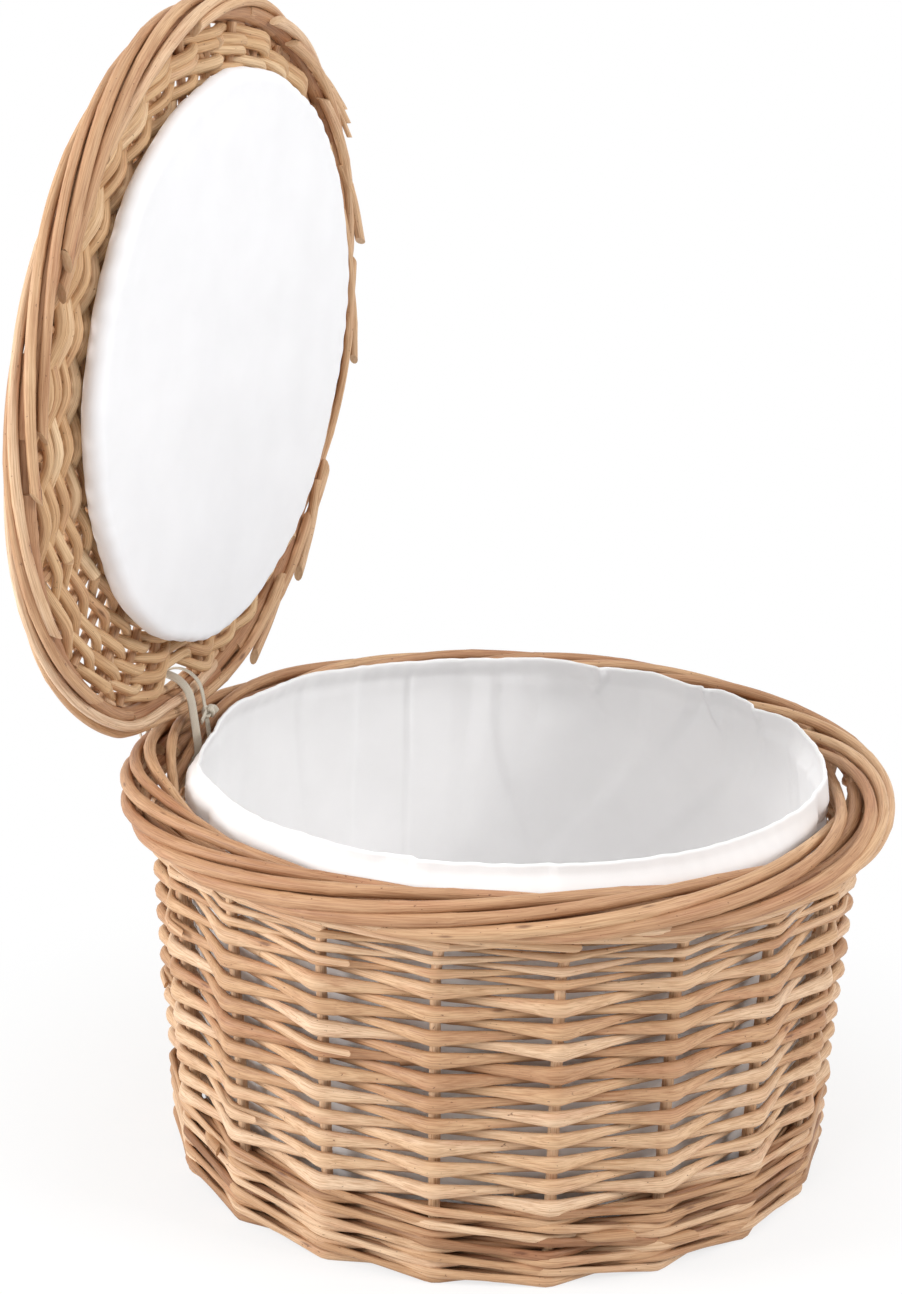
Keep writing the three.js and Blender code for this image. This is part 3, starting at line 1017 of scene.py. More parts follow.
@dataclass
class RolledBorder(Part):
    """The stakes, each with the border rod that it turns into and a rod end tucked below.

    Args:
        loop_width: half width of the loop that a rod makes round the border.
        loop_height: half height of that loop.
        bays: bays that a rod takes to go once round the section.
        wander: how far the border strays from its circle.
        gather: how closely the rods lie together on the outside, from 0.
        butt: radius of a border rod at its start.
        tip: radius of a border rod at its end.
        core: radius of the hidden rods inside the loops.
        core_sides: where those lie, as shares of the loop's half width, from the middle outward.
    """

    loop_width: float = 9.6
    loop_height: float = 6.7
    bays: int = 7
    wander: float = 0.5
    gather: float = 0.24
    butt: float = 2.7
    tip: float = 1.85
    core: float = 2.6
    core_sides: tuple[float, float] = (-0.35, 0.3)

    def __post_init__(self) -> None:
        """Makes the fields by which the border wanders."""
        self.lift = Wander(21, waves=6)
        self.swell = Wander(22, waves=7)

    def point(self, azimuth: float, turn: float, size: float) -> Array:
        """A point of the border.

        Args:
            azimuth: where along the ring.
            turn: the angle about the section, 0 outward and 90 up.
            size: 1 on the loop and less towards its middle.

        Returns:
            The point.
        """
        radius = self.shape.ring_radius + self.wander * self.swell.at(azimuth, 0)
        z = self.shape.border_z + self.wander * self.lift.at(azimuth, 0)
        angle = math.radians(turn)
        return polar(radius + size * self.loop_width * math.cos(angle), azimuth,
                     z + size * self.loop_height * math.sin(angle))

    def upright(self, azimuth: float) -> Rod:
        """A stake from the floor up into the border.

        Args:
            azimuth: where it stands.

        Returns:
            The stake.
        """
        heights = np.linspace(0.3, self.shape.body_top + 4, 9)
        line = [polar(self.shape.stake_circle(z) + 0.2, azimuth, z) for z in heights]
        line.append(self.point(azimuth + 3, -100, 0.5))
        size = self.shape.stake_radius
        return Rod(smoothed(np.array(line)), size + 0.15, size - 0.1)

    def border_rod(self, azimuth: float, rng: Random) -> Rod:
        """A rod that goes once round the section while it runs along the border.

        Args:
            azimuth: where its stake stands.
            rng: draws the small differences between rods.

        Returns:
            The rod.
        """
        phase = rng.uniform(-9, 9)
        scale = rng.uniform(0.93, 1.05)
        start, end, points = -0.25, self.bays - 0.2, 60
        inner, growth, shrinking = 0.55, 0.45, 0.3
        line = []
        for along in np.linspace(start, end, points):
            even = -90 + phase + FULL_TURN * along / self.bays
            turn = even - math.degrees(self.gather * math.sin(math.radians(even - 5)))
            size = inner + growth * smoothstep(along, -0.2, 1.2)
            size -= shrinking * smoothstep(along, self.bays - 1.3, end)
            line.append(self.point(azimuth + self.shape.bay() * along, turn, size * scale))
        thick = rng.uniform(0.94, 1.06)
        return Rod(line, self.butt * thick, self.tip * thick, end=End.CUT)

    def tucked_end(self, azimuth: float, rng: Random) -> Rod:
        """A rod's cut end that comes out below the border and stops beside a stake.

        Args:
            azimuth: the stake beside which it stops.
            rng: draws the small differences between rods.

        Returns:
            The rod.
        """
        bay = self.shape.bay()
        reach = rng.uniform(-0.02, 0.1)
        low = self.shape.border_z - self.shape.border_half_height
        steps = ((1.9, -22, 0.7), (1.2, -38, 0.98), (0.5, -56, 1.08))
        line = [self.point(azimuth - back * bay, turn, size) for back, turn, size in steps]
        out = self.shape.ring_radius + 2.6
        line.append(polar(out, azimuth + reach * bay, low + rng.uniform(0.2, 1.6)))
        line = smoothed(resampled(rounded(line, 12), 3.2), 2)
        return Rod(line, 2.2, rng.uniform(2.0, 2.5), End.CUT)

    def core_rod(self, azimuth: float, side: float) -> Rod:
        """A stretch of a hidden rod that closes the view through the loops.

        Args:
            azimuth: the stake at which it starts.
            side: one of core_sides.

        Returns:
            The rod.
        """
        turns = np.linspace(azimuth - 5, azimuth + self.shape.bay() + 5, 9)
        line = [self.point(turn, 0 if side > 0 else 180, abs(side)) for turn in turns]
        return Rod(line, self.core, self.core)

    def build(self) -> None:
        """Builds every stake with its border rod."""
        for index in range(self.shape.stake_count):
            rng = np.random.default_rng(SEED + 100 + index)
            azimuth = self.shape.stake_azimuth(index)
            bundle = Bundle(rng, sides=12)
            # The stake's pale tone is painted light that offsets the shade it stands in behind the
            # rods.
            bundle.add(self.upright(azimuth), 0.8)
            bundle.add(self.border_rod(azimuth, rng), float(0.6 * rng.beta(1.6, 2.0)))
            bundle.add(self.tucked_end(azimuth, rng), 0.7)
            # The hidden rods would show at the left and right, where the loops are seen end on.
            if abs(math.sin(math.radians(azimuth))) > 0.35:
                for side in self.core_sides:
                    bundle.add(self.core_rod(azimuth, side), 0.15)
            piece = bundle.build(f"stake_rod_{index + 1:02d}", self.finish)
            fitted(piece, Body.BASKET, f"stake_{index + 1:02d}")


# Woven discs


@dataclass
class WovenDisc:
    """A flat disc of sticks and paired rods, woven from a pierced cross outwards.

    Args:
        name: the disc's name.
        body: the body it moves with.
        finish: the willow of its rods.
        stick_finish: the willow of its sticks.
        arms: sticks of each arm of the cross.
        first_angle: direction of the first arm.
        stick_radius: radius of a stick.
        radius: radius of the disc.
        rod_radius: radius of a rod at the edge.
        pitch: from a rod to the next, for the rod's radius.
        bend: length over which a rod bends on each side of a stick.
        hub: radius at which the rods start to part the sticks.
        height: height of its middle.
        parted: radius beyond which a side stick stands between each two, or 0 for none.
        closing: share of a round for which the last rod runs on along the edge.
        gap: direction in which the rods are pressed in beside the lashing, if there is one.
        pressed: how far they are pressed in there.
        notch: angles from there at which that begins to fade and has gone.
        bulge: how far the edge stands out in a direction, if it isn't round.
    """

    name: str
    body: Body
    finish: Material
    stick_finish: Material
    arms: tuple[int, int]
    first_angle: float
    stick_radius: float
    radius: float
    rod_radius: float = 2.1
    pitch: float = 1.95
    bend: float = 4.0
    hub: float = 27.0
    height: float = 0.0
    parted: float = 0.0
    closing: float = 0.0
    gap: float | None = None
    pressed: float = 10.8
    notch: tuple[float, float] = (5.0, 9.5)
    bulge: Callable[[float], float] | None = None

    def edge(self, angle: float) -> float:
        """The disc's radius in a direction."""
        return self.radius + (self.bulge(angle) if self.bulge else 0.0)

    def sticks(self) -> int:
        """Ends of sticks that the rods pass."""
        return 2 * sum(self.arms)

    def step(self) -> float:
        """The angle from a stick to the next."""
        return FULL_TURN / self.sticks()

    def stick_angle(self, place: float) -> float:
        """Direction of a stick, counted from the first one that the rods pass."""
        first = self.first_angle + (0 if self.arms[0] % 2 else self.step() / 2)
        return first + self.step() * place

    def beside(self) -> float:
        """From the middle of a stick to the next in the same arm."""
        return 2 * self.stick_radius + 0.2

    def arm(self, bundle: Bundle, count: int, angle: float, level: float) -> None:
        """Lays the sticks of one arm side by side and fans out their ends.

        Args:
            bundle: where the sticks go.
            count: how many there are.
            angle: the arm's direction.
            level: how far they lie above the disc's middle at the cross.
        """
        for index in range(count):
            place = index - (count - 1) / 2
            spread = place * self.step()
            bend = self.hub
            if place:
                bend = abs(place * self.beside()) / math.sin(math.radians(abs(spread)))
            line = []
            for way in (angle + spread, angle + 180 - spread):
                outer = polar(self.edge(way), way, self.height)
                inner = polar(max(bend, 12), way, self.height + level)
                line += [inner, outer] if line else [outer, inner]
            bundle.add(Rod(rounded(line, 6), self.stick_radius, self.stick_radius * 0.94), 0.45)

    def side_sticks(self, bundle: Bundle) -> None:
        """Pushes a side stick in between each two sticks, except where the lashing passes."""
        tucked_in = 14
        for index in range(self.sticks()):
            angle = self.stick_angle(index + 0.5)
            if self.gap is None or abs(turned(angle, self.gap)) > self.notch[0]:
                ends = (self.parted - tucked_in, self.edge(angle))
                line = [polar(end, angle, self.height) for end in ends]
                bundle.add(Rod(line, self.stick_radius * 0.8, self.stick_radius * 0.9), 0.45)

    def pushed(self, azimuth: float, radius: float) -> float:
        """How far a rod lies out of round: in beside the lashing and out where the edge bulges.

        Args:
            azimuth: the direction.
            radius: the rod's radius without it.

        Returns:
            The change of its radius.
        """
        out = self.edge(azimuth) - self.radius
        if self.gap is not None:
            away = abs(turned(azimuth, self.gap))
            out -= self.pressed * (1 - smoothstep(away, *self.notch))
        inner, outer = 36, 3
        return out * smoothstep(radius, self.radius - inner, self.radius - outer)

    def binding(self, bundle: Bundle) -> None:
        """Ties the cross together with three rounds, over one arm and under the next."""
        half = (max(self.arms) / 2) * self.beside()
        rounds, size, apart, clear = 3, 1.5, 2.9, 2.0
        line = []
        for corner in range(4 * rounds + 1):
            reach = half + clear + apart * corner / 4
            angle = self.first_angle + 90 * corner
            up = 1 if (corner + corner // 4) % 2 else -1
            level = self.height + up * (self.stick_radius + size)
            for side in (-1, 1):
                across = polar(half * side * 0.8, angle + 90, 0)
                line.append(polar(reach, angle, level) + across)
        bundle.add(Rod(smoothed(resampled(rounded(line, 4), 2.4), 2), size, size), 0.6)

    def path(self, phase: int) -> list[Array]:
        """The corners of one rod of the pair, from the hub to the edge.

        Args:
            phase: 0 for the inner rod and 1 for the outer.

        Returns:
            The corners, over one stick and under the next.
        """
        sticks = self.sticks()
        pitch = self.pitch * self.rod_radius
        rounds = int((self.radius - self.rod_radius - self.hub) / (2 * pitch))
        total = rounds * sticks
        start = self.radius - self.rod_radius - pitch - 2 * pitch * rounds
        wander = Wander(31 + phase, waves=5)
        change, stride = total, 1.0
        if self.parted:
            change, stride = math.ceil((self.parted - start) / (2 * pitch) * sticks), 0.5
        places = [float(place) for place in range(change)]
        places += list(np.arange(change, total + self.closing * sticks + 0.1, stride))
        pressed, sway = 0.92, 0.25
        level = self.stick_radius + pressed * self.rod_radius
        points = []
        for stroke, place in enumerate(places):
            radius = start + phase * pitch + 2 * pitch * min(place, total) / sticks
            azimuth = self.stick_angle(place)
            radius += sway * wander.at(azimuth, radius) + self.pushed(azimuth, radius)
            side = -1 if (stroke + phase) % 2 else 1
            points.append(polar(radius, azimuth, self.height + side * level))
        return points

    def weaver(self, bundle: Bundle, phase: int) -> None:
        """Weaves one rod of the pair, in lengths that follow each other.

        Args:
            bundle: where the rods go.
            phase: 0 for the inner rod and 1 for the outer.
        """
        rng = bundle.rng
        shortest, longest, fewest = 18, 26, 7
        points = self.path(phase)
        total = len(points) - 1
        first = 0
        while first < total:
            last = min(total, first + int(rng.integers(shortest, longest + 1)))
            last = total if total - last < fewest else last
            line = smoothed(resampled(rounded(points[first:last + 1], self.bend), 2.8))
            size = self.rod_radius * rng.uniform(0.93, 1.04)
            bundle.add(Rod(line, size * 1.06, size * 0.88))
            first = last

    def build(self, place: Matrix | None = None) -> None:
        """Builds the sticks and the pair of rods.

        Args:
            place: where the disc's own frame lies, if it isn't the basket's.
        """
        cross = Bundle(np.random.default_rng(SEED + 300 + len(self.name)))
        self.arm(cross, self.arms[0], self.first_angle, 0.0)
        self.arm(cross, self.arms[1], self.first_angle + 90, 0.4)
        if self.parted:
            self.side_sticks(cross)
        piece = cross.build(f"{self.name}_cross", self.stick_finish, place)
        fitted(piece, self.body, f"{self.name}_sticks")
        for phase, label in enumerate(("inner", "outer")):
            bundle = Bundle(np.random.default_rng(SEED + 310 + phase + 7 * len(self.name)))
            self.weaver(bundle, phase)
            if phase == 0:
                self.binding(bundle)
            piece = bundle.build(f"{self.name}_{label}_rods", self.finish, place)
            fitted(piece, self.body, f"{self.name}_{label}_weaver")


@dataclass
class LidBorder(Part):
    """The wrapped border of the lid, whose rods end in cuts on the inner face.

    Args:
        count: number of rods.
        first_angle: direction of the first rod's start.
        web_radius: where the woven disc ends.
        loop: half width of the loop that a rod makes round the border.
        high: half height of that loop.
        outward: how far the loops' middle lies outside the ring.
        bays: bays that a rod takes to go once round.
        butt: radius of a rod where it ends on the inner face.
        core: radius of the hidden rods inside the loops.
        tips: angle and radius of the rod tips that stand off the edge.
    """

    count: int
    first_angle: float
    web_radius: float = 120.2
    loop: float = 5.6
    high: float = 6.0
    outward: float = 1.3
    bays: int = 7
    butt: float = 2.3
    core: float = 3.6
    tips: tuple[tuple[float, float], ...] = (
        (-128, 1.2), (-125, 1.5), (-122, 1.1), (-102, 2.0), (-81, 1.7), (-41, 2.0), (-21, 1.8),
    )

    def start(self, index: float) -> float:
        """Direction in which a rod starts."""
        return self.first_angle + FULL_TURN / self.count * index

    def ring(self, angle: float) -> float:
        """Radius of the border's middle in a direction."""
        return self.shape.lid_ring_radius + self.shape.lid_edge(angle)

    def rod(self, index: int, rng: Random) -> Rod:
        """One rod, from the web over the outside and the edge to the inner face.

        Args:
            index: which rod, from 0.
            rng: draws the small differences between rods.

        Returns:
            The rod.
        """
        phase = rng.uniform(-12, 12)
        line = [polar(self.web_radius - 6, self.start(index), 0.5)]
        for along in np.linspace(0.25, self.bays - rng.uniform(0.6, 2.3), 46):
            turn = math.radians(180 + phase - FULL_TURN * along / self.bays)
            size = 1 - 0.25 * (1 - smoothstep(along, 0.2, 1.0))
            here = self.start(index - along)
            radius = self.ring(here) + self.outward + size * self.loop * math.cos(turn)
            line.append(polar(radius, here, size * self.high * math.sin(turn)))
        thick = self.butt * rng.uniform(0.8, 1.06)
        return Rod(line, 0.84 * thick, thick, end=End.CUT)

    def tip(self, angle: float, size: float, rng: Random) -> Rod:
        """A rod's tip that comes out between the loops and stands off the edge.

        Args:
            angle: direction of its end.
            size: its radius.
            rng: draws the small differences between rods.

        Returns:
            The rod.
        """
        ring = self.ring(angle)
        steps = ((2.0, -17, -4.0), (6.0, -9, -5.8), (10.2, 0, -6.4 + rng.uniform(-0.3, 0.3)))
        line = [polar(ring + out, angle + turn, z) for out, turn, z in steps]
        return Rod(rounded(line, 9.0), size * 1.15, size, end=End.CUT)

    def hidden(self, index: int, rng: Random) -> Rod:
        """A stretch of the rods that lie inside the loops.

        Args:
            index: which stretch, from 0.
            rng: draws the small differences between rods.

        Returns:
            The rod.
        """
        sway = rng.uniform(-0.7, 0.7)
        turns = [self.start(index + along) for along in np.linspace(-0.3, 1.3, 12)]
        line = [polar(self.ring(turn) + self.outward + sway, turn, -sway) for turn in turns]
        return Rod(line, self.core, self.core)

    def build(self) -> None:
        """Builds every rod of the border."""
        for index in range(self.count):
            rng = np.random.default_rng(SEED + 500 + index)
            bundle = Bundle(rng, sides=12)
            bundle.add(self.rod(index, rng))
            bundle.add(self.hidden(index, rng), 0.05)
            for angle, size in self.tips[index::self.count]:
                bundle.add(self.tip(angle, size, rng), 0.6)
            name = f"lid_edge_rod_{index + 1:02d}"
            piece = bundle.build(name, self.finish, self.shape.lid_place())
            fitted(piece, Body.LID, f"lid_border_rod_{index + 1:02d}")


# Cloth


def cloth(name: str, rings: Array, material: Material, thickness: float = 0.0,
          place: Matrix | None = None, close: bool = False) -> Object:
    """Makes a cloth from closed rings of points.

    Args:
        name: the object's name.
        rings: the points, by ring and by place round the ring.
        material: its finish.
        thickness: the cloth's thickness, or 0 for a closed form.
        place: where its own frame lies, if it isn't the basket's.
        close: whether the last ring is drawn together to a point.

    Returns:
        The new object.
    """
    count, around, _ = rings.shape
    points = rings.reshape(-1, 3)
    faces = tube(count, around)
    if close:
        points = np.vstack([points, rings[-1].mean(axis=0)])
        low, tip = (count - 1) * around, count * around
        faces += [(low + step, low + (step + 1) % around, tip) for step in range(around)]
    piece = made(name, points, faces, material, place)
    if thickness:
        solid = piece.modifiers.new("thickness", "SOLIDIFY")
        solid.thickness = thickness * MM
        solid.offset = 0
    return piece


@dataclass(frozen=True)
class Fold:
    """A fold or crease of the lining.

    Args:
        azimuth: where it is at the mouth.
        width: half width in degrees.
        depth: how far the cloth comes in.
        top: height at which it is deepest.
        bottom: height at which it has gone.
        lean: how far it moves sideways on its way down, in degrees.
        sharp: 1 for a soft fold and less for a crease.
        lip: share of its depth that is left at the mouth.
        skew: how much steeper it is on its far side, from -1 to 1.
    """

    azimuth: float
    width: float
    depth: float
    top: float
    bottom: float
    lean: float = 0.0
    sharp: float = 0.8
    lip: float = 0.12
    skew: float = 0.0

    def at(self, azimuth: Array, z: float) -> Array:
        """How far the cloth comes in at some azimuths and a height.

        Args:
            azimuth: the azimuths.
            z: the height.

        Returns:
            How far it comes in at each azimuth.
        """
        share = smoothstep(z, self.bottom, self.top)
        middle = self.azimuth + self.lean * (1 - share)
        away = turned(azimuth, middle) / (self.width * (0.6 + 0.4 * share))
        away = np.abs(away) * (1 + self.skew * np.sign(away))
        mouth_from, mouth_to = 147, 157.5
        depth = self.depth * (1 - (1 - self.lip) * smoothstep(z, mouth_from, mouth_to))
        return depth * share * np.clip(1 - away, 0, 1) ** (1 / self.sharp)


@dataclass
class Lining(Part):
    """The cotton lining: a gathered wall with its hem turned over the mouth, and a round floor.

    Args:
        around: points round a ring of the wall.
        floor_around: points round a ring of the floor.
        floor_z: height of the floor.
        floor_radius: radius of the floor.
        rise: how far the mouth stands above the border.
        lean: how far the mouth leans in from the border.
        lean_from: how far below the mouth the cloth starts to lean in.
        hem: depth of the hem.
        hem_gap: from the hem's outer side to its inner one.
        clear: how far the cloth lies inside the circle of the stakes.
        droop: how far the mouth rises and sinks.
        thickness: the cloth's thickness.
        folds: the folds seen in the lining.
        catches: azimuths at the mouth, and how far the cloth is drawn in there.
    """

    around: int = 640
    floor_around: int = 240
    floor_z: float = 15.2
    floor_radius: float = 114.5
    rise: float = 2.8
    lean: float = 4.4
    lean_from: float = 8.5
    hem: float = 13.0
    hem_gap: float = 1.1
    clear: float = 6.9
    droop: float = 0.42
    thickness: float = 0.5
    folds: tuple[Fold, ...] = (
        Fold(121.5, 3.4, 1.6, 152, 40, 1.5, 0.9, 0.4, -0.8),
        Fold(134.0, 3.0, 1.3, 154, 60, -2.0, 0.9, 0.4, 0.8),
        Fold(72.0, 4.0, 3.6, 156, 122, -7.0, 0.9, 0.35, 0.7),
        Fold(69.0, 1.6, 3.2, 156, 138, 3.0, 0.7, 0.9),
        Fold(49.0, 5.0, 3.4, 156, 112, 9.0, 0.9, 0.35, -0.7),
        Fold(44.0, 2.2, 3.6, 156, 132, -4.0, 0.6, 0.85),
        Fold(27.0, 5.0, 3.0, 155, 104, 8.0, 0.9, 0.3, 0.7),
        Fold(10.0, 7.0, 3.2, 154, 92, -4.0, 0.8),
        Fold(-8.0, 7.0, 4.5, 153, 88, 9.0, 0.9, 0.12, -0.75),
        Fold(-19.0, 3.5, 3.0, 156, 120, 2.0, 0.6),
        Fold(-83.5, 2.0, 1.2, 159, 146, 1.5, 0.9, 1.0, 0.6),
        Fold(-111.7, 3.2, 1.8, 159, 145, 2.0, 0.9, 1.0, -0.6),
        Fold(-107.0, 1.8, 1.3, 159, 146, -1.0, 0.9, 1.0, 0.6),
        Fold(30.0, 1.8, 2.4, 157, 144, 2.0, 0.7, 1.0),
        Fold(164.6, 15.0, 5.0, 150, 70, 0.0, 0.6),
        Fold(178.0, 3.0, 2.0, 156, 120, 3.0, 0.6),
        Fold(205.0, 4.5, 2.0, 150, 60, -3.0, 0.7),
        Fold(96.0, 4.0, 1.5, 150, 60, 3.0, 0.8),
        Fold(109.0, 1.2, 1.6, 150, 30, 1.0, 0.5),
        Fold(58.0, 6.0, 2.4, 140, 30, 28.0, 0.9, 0.1, 0.75),
        Fold(38.0, 5.0, 2.0, 138, 40, 32.0, 0.9, 0.1, -0.75),
        Fold(17.0, 6.0, 2.4, 140, 45, -22.0, 0.9, 0.1, 0.75),
        Fold(90.0, 4.0, 1.4, 130, 24, -14.0, 0.9, 0.1, 0.8),
        Fold(3.0, 3.0, 2.2, 147, 96, 8.0, 0.5),
        Fold(82.0, 5.0, 1.2, 136, 50, 16.0, 0.6),
        Fold(148.0, 5.0, 1.5, 146, 60, 6.0, 0.6),
    )
    catches: tuple[tuple[float, float], ...] = (
        (-168, 0.0), (-150, 1.5), (-128, -0.2), (-112, 1.2), (-104, -0.3), (-84, 1.0), (-60, -0.2),
        (-36, 1.4), (-14, -0.2), (6, 0.9), (20, -0.2), (29, 1.8), (40, -0.3), (48, 1.7), (58, -0.2),
        (70, 1.7), (82, -0.2), (108, 1.7), (131, -0.2), (145, 1.3), (155, -0.2), (172, 2.4),
    )

    def drawn_in(self, azimuth: Array) -> Array:
        """How far the mouth is drawn in between the places where it is caught."""
        at, depth = np.array(self.catches).T
        return np.interp(azimuth, at, depth, period=FULL_TURN)

    def wall_radius(self, z: float) -> float:
        """Radius at which the cloth lies against the weave or the border."""
        border = self.shape.ring_radius - self.shape.border_half_width
        return min(self.shape.stake_circle(z) - self.clear, border - 0.5)

    def gather(self, azimuth: Array, z: float) -> Array:
        """How far the cloth comes in from its radius at some azimuths and a height.

        Args:
            azimuth: the azimuths.
            z: the height.

        Returns:
            How far it comes in at each azimuth.
        """
        total = sum(fold.at(azimuth, z) for fold in self.folds)
        turns = np.radians(azimuth)
        soft = 0.5 * np.sin(7 * turns + 0.03 * z) + 0.5 * np.sin(13 * turns - 0.05 * z + 1.0)
        soft += 0.35 * np.sin(23 * turns + 0.04 * z + 2.2)
        return total + np.maximum(0, 0.7 + 0.5 * soft) * smoothstep(z, 18, 60)

    def pucker(self, turns: Array) -> Array:
        """Small gathers along the mouth, about -1 to 1."""
        waves = np.sin(61 * turns) * np.sin(5 * turns + 1)
        waves += 0.7 * np.sin(97 * turns + 0.5) * np.sin(7 * turns)
        return waves + 0.6 * np.sin(37 * turns + 2 * np.sin(4 * turns))

    def hem_radius(self, z: float, top: float) -> float:
        """Radius of the hem's outer side, which leans in towards the mouth."""
        lean = self.lean * smoothstep(z, top - self.lean_from, top) ** 0.8
        return self.wall_radius(z) - lean

    def profile(self) -> list[Spot]:
        """Radius, height and share of puckering from the hem's edge over the mouth to the floor."""
        top = self.shape.top + self.rise
        lip = self.wall_radius(top) - self.lean
        rows = []
        for share in np.linspace(0, 1, 9):
            z = top - self.hem * (1 - share)
            rows.append((self.hem_radius(z, top), z - 0.8, 0.4 + 0.6 * share))
        rows += [(lip - 0.3, top, 1.0), (lip - 0.7, top + 0.1, 1.0)]
        rows.append((lip - self.hem_gap, top - 0.4, 1.0))
        for share in np.linspace(0.06, 1, 8):
            z = top - self.hem * share
            inner = self.hem_radius(z, top) - self.hem_gap + 0.3 * share
            rows.append((inner, z - 0.4, 1.0 - 0.7 * share))
        start = top - self.hem - 2.2
        rows.append((self.wall_radius(start) - 0.5, start, 0.2))
        for z in np.linspace(start - 3, self.floor_z + 5, 34):
            rows.append((self.wall_radius(z) - 0.3, z, 0.12))
        for out, up, share in ((2.2, 2.6, 0.1), (0.6, 0.4, 0.0), (-2.5, -0.35, 0.0)):
            rows.append((self.floor_radius + out, self.floor_z + up, share))
        return rows

    def wall(self) -> Object:
        """The gathered wall with its hem."""
        azimuth = turns_of(self.around)
        turns = np.radians(azimuth)
        pucker = self.pucker(turns)
        droop = 0.9 * np.sin(3 * turns + 0.6) + 0.7 * np.sin(5 * turns + 2.0)
        droop += 0.5 * np.sin(11 * turns)
        # On the right, the mouth leans in less.
        eased = self.lean * 0.75 * smoothstep(np.cos(turns), 0.72, 0.97)
        pucker_in, pucker_up, sink = 0.13, 0.12, 0.5
        rings = []
        for radius, z, share in self.profile():
            caught = self.drawn_in(azimuth) * smoothstep(z, 142, 157)
            reach = radius + eased * smoothstep(z, 148, 158) - caught
            reach -= self.gather(azimuth, z) + pucker_in * share * pucker
            ruffle = pucker_up * share * np.roll(pucker, 9) * smoothstep(z, 140, 157)
            sag = self.droop * droop * smoothstep(z, 120, 158)
            rings.append(ring_of(reach, turns, z - sink * caught + ruffle + sag))
        return cloth("lining_wall", np.array(rings), self.finish, self.thickness)

    def floor(self) -> Object:
        """The round floor, with a few soft ripples."""
        turns = np.radians(turns_of(self.floor_around))
        rings = []
        for share in np.linspace(1, 0.04, 26):
            ripple = np.sin(5 * turns + 6 * share) + 0.7 * np.sin(9 * turns - 4 * share + 1)
            height = self.floor_z + 0.25 + 0.35 * share * ripple * (1 - 0.6 * share)
            rings.append(ring_of((self.floor_radius + 0.2) * share, turns, height))
        return cloth("lining_floor", np.array(rings), self.finish, self.thickness, close=True)

    def build(self) -> None:
        """Builds the wall and the floor."""
        wall = fitted(self.wall(), Body.BASKET, "liner")
        floor = fitted(self.floor(), Body.BASKET, "liner")


@dataclass
class LidPad(Part):
    """The padded cotton disc on the lid's inner face, in the lid's own frame.

    Args:
        around: points round a ring.
        radius: its radius.
        back: height of its back, on the weave.
        thickness: its thickness at the edge.
        crown: how much thicker it is in the middle.
        shift: how far its middle lies from the lid's, away from the hinge.
    """

    around: int = 540
    radius: float = 111.0
    back: float = -5.9
    thickness: float = 9.6
    crown: float = 1.6
    shift: float = 4.0

    def profile(self) -> list[Spot]:
        """Radius, height and share of gathers, from the back over the edge to the face."""
        half = self.thickness / 2
        rows = [(share * self.radius, self.back, 0.0) for share in np.linspace(0.05, 0.965, 16)]
        for turn in np.radians(np.linspace(80, -80, 13)):
            out = self.radius - half * 0.8 * (1 - math.cos(turn))
            rows.append((out, self.back - half + half * math.sin(turn), 1.0))
        seam, seam_width, seam_depth = 0.93, 0.014, 0.5
        for share in np.linspace(0.955, 0.04, 34):
            rise = self.crown * math.cos(share * math.pi / 2)
            dip = seam_depth * math.exp(-((share - seam) / seam_width) ** 2)
            z = self.back - self.thickness - rise + dip
            rows.append((share * self.radius, z, float(share > 0.9)))
        return rows

    def build(self) -> None:
        """Builds the disc, closed and with its edge drawn in by small gathers."""
        turns = np.radians(turns_of(self.around))
        edge = 0.5 * np.sin(3 * turns + 1) + 0.45 * np.sin(8 * turns + 2) + 0.3 * np.sin(17 * turns)
        gathers = np.sin(64 * turns + 1.5 * np.sin(5 * turns)) * (0.6 + 0.4 * np.sin(7 * turns))
        rings = []
        for radius, z, share in self.profile():
            out = radius / self.radius
            face = float(z < self.back - self.thickness / 2)
            wave = 0.28 * np.sin(2 * turns + radius / 30) + 0.2 * np.sin(5 * turns - radius / 22)
            height = z + face * (wave * out - 0.16 * share * gathers)
            reach = radius + (edge + 0.22 * gathers * share) * out
            rings.append(ring_of(reach, turns, height) - [self.shift, 0, 0])
        rings = np.array(rings)
        middle = rings[0].mean(axis=0)
        rings = np.concatenate([middle + (rings[:1] - middle) * 0.02, rings])
        pad = cloth("lid_pad_cover", rings, self.finish, place=self.shape.lid_place(), close=True)
        fitted(pad, Body.LID, "lid_pad")


# Lashing


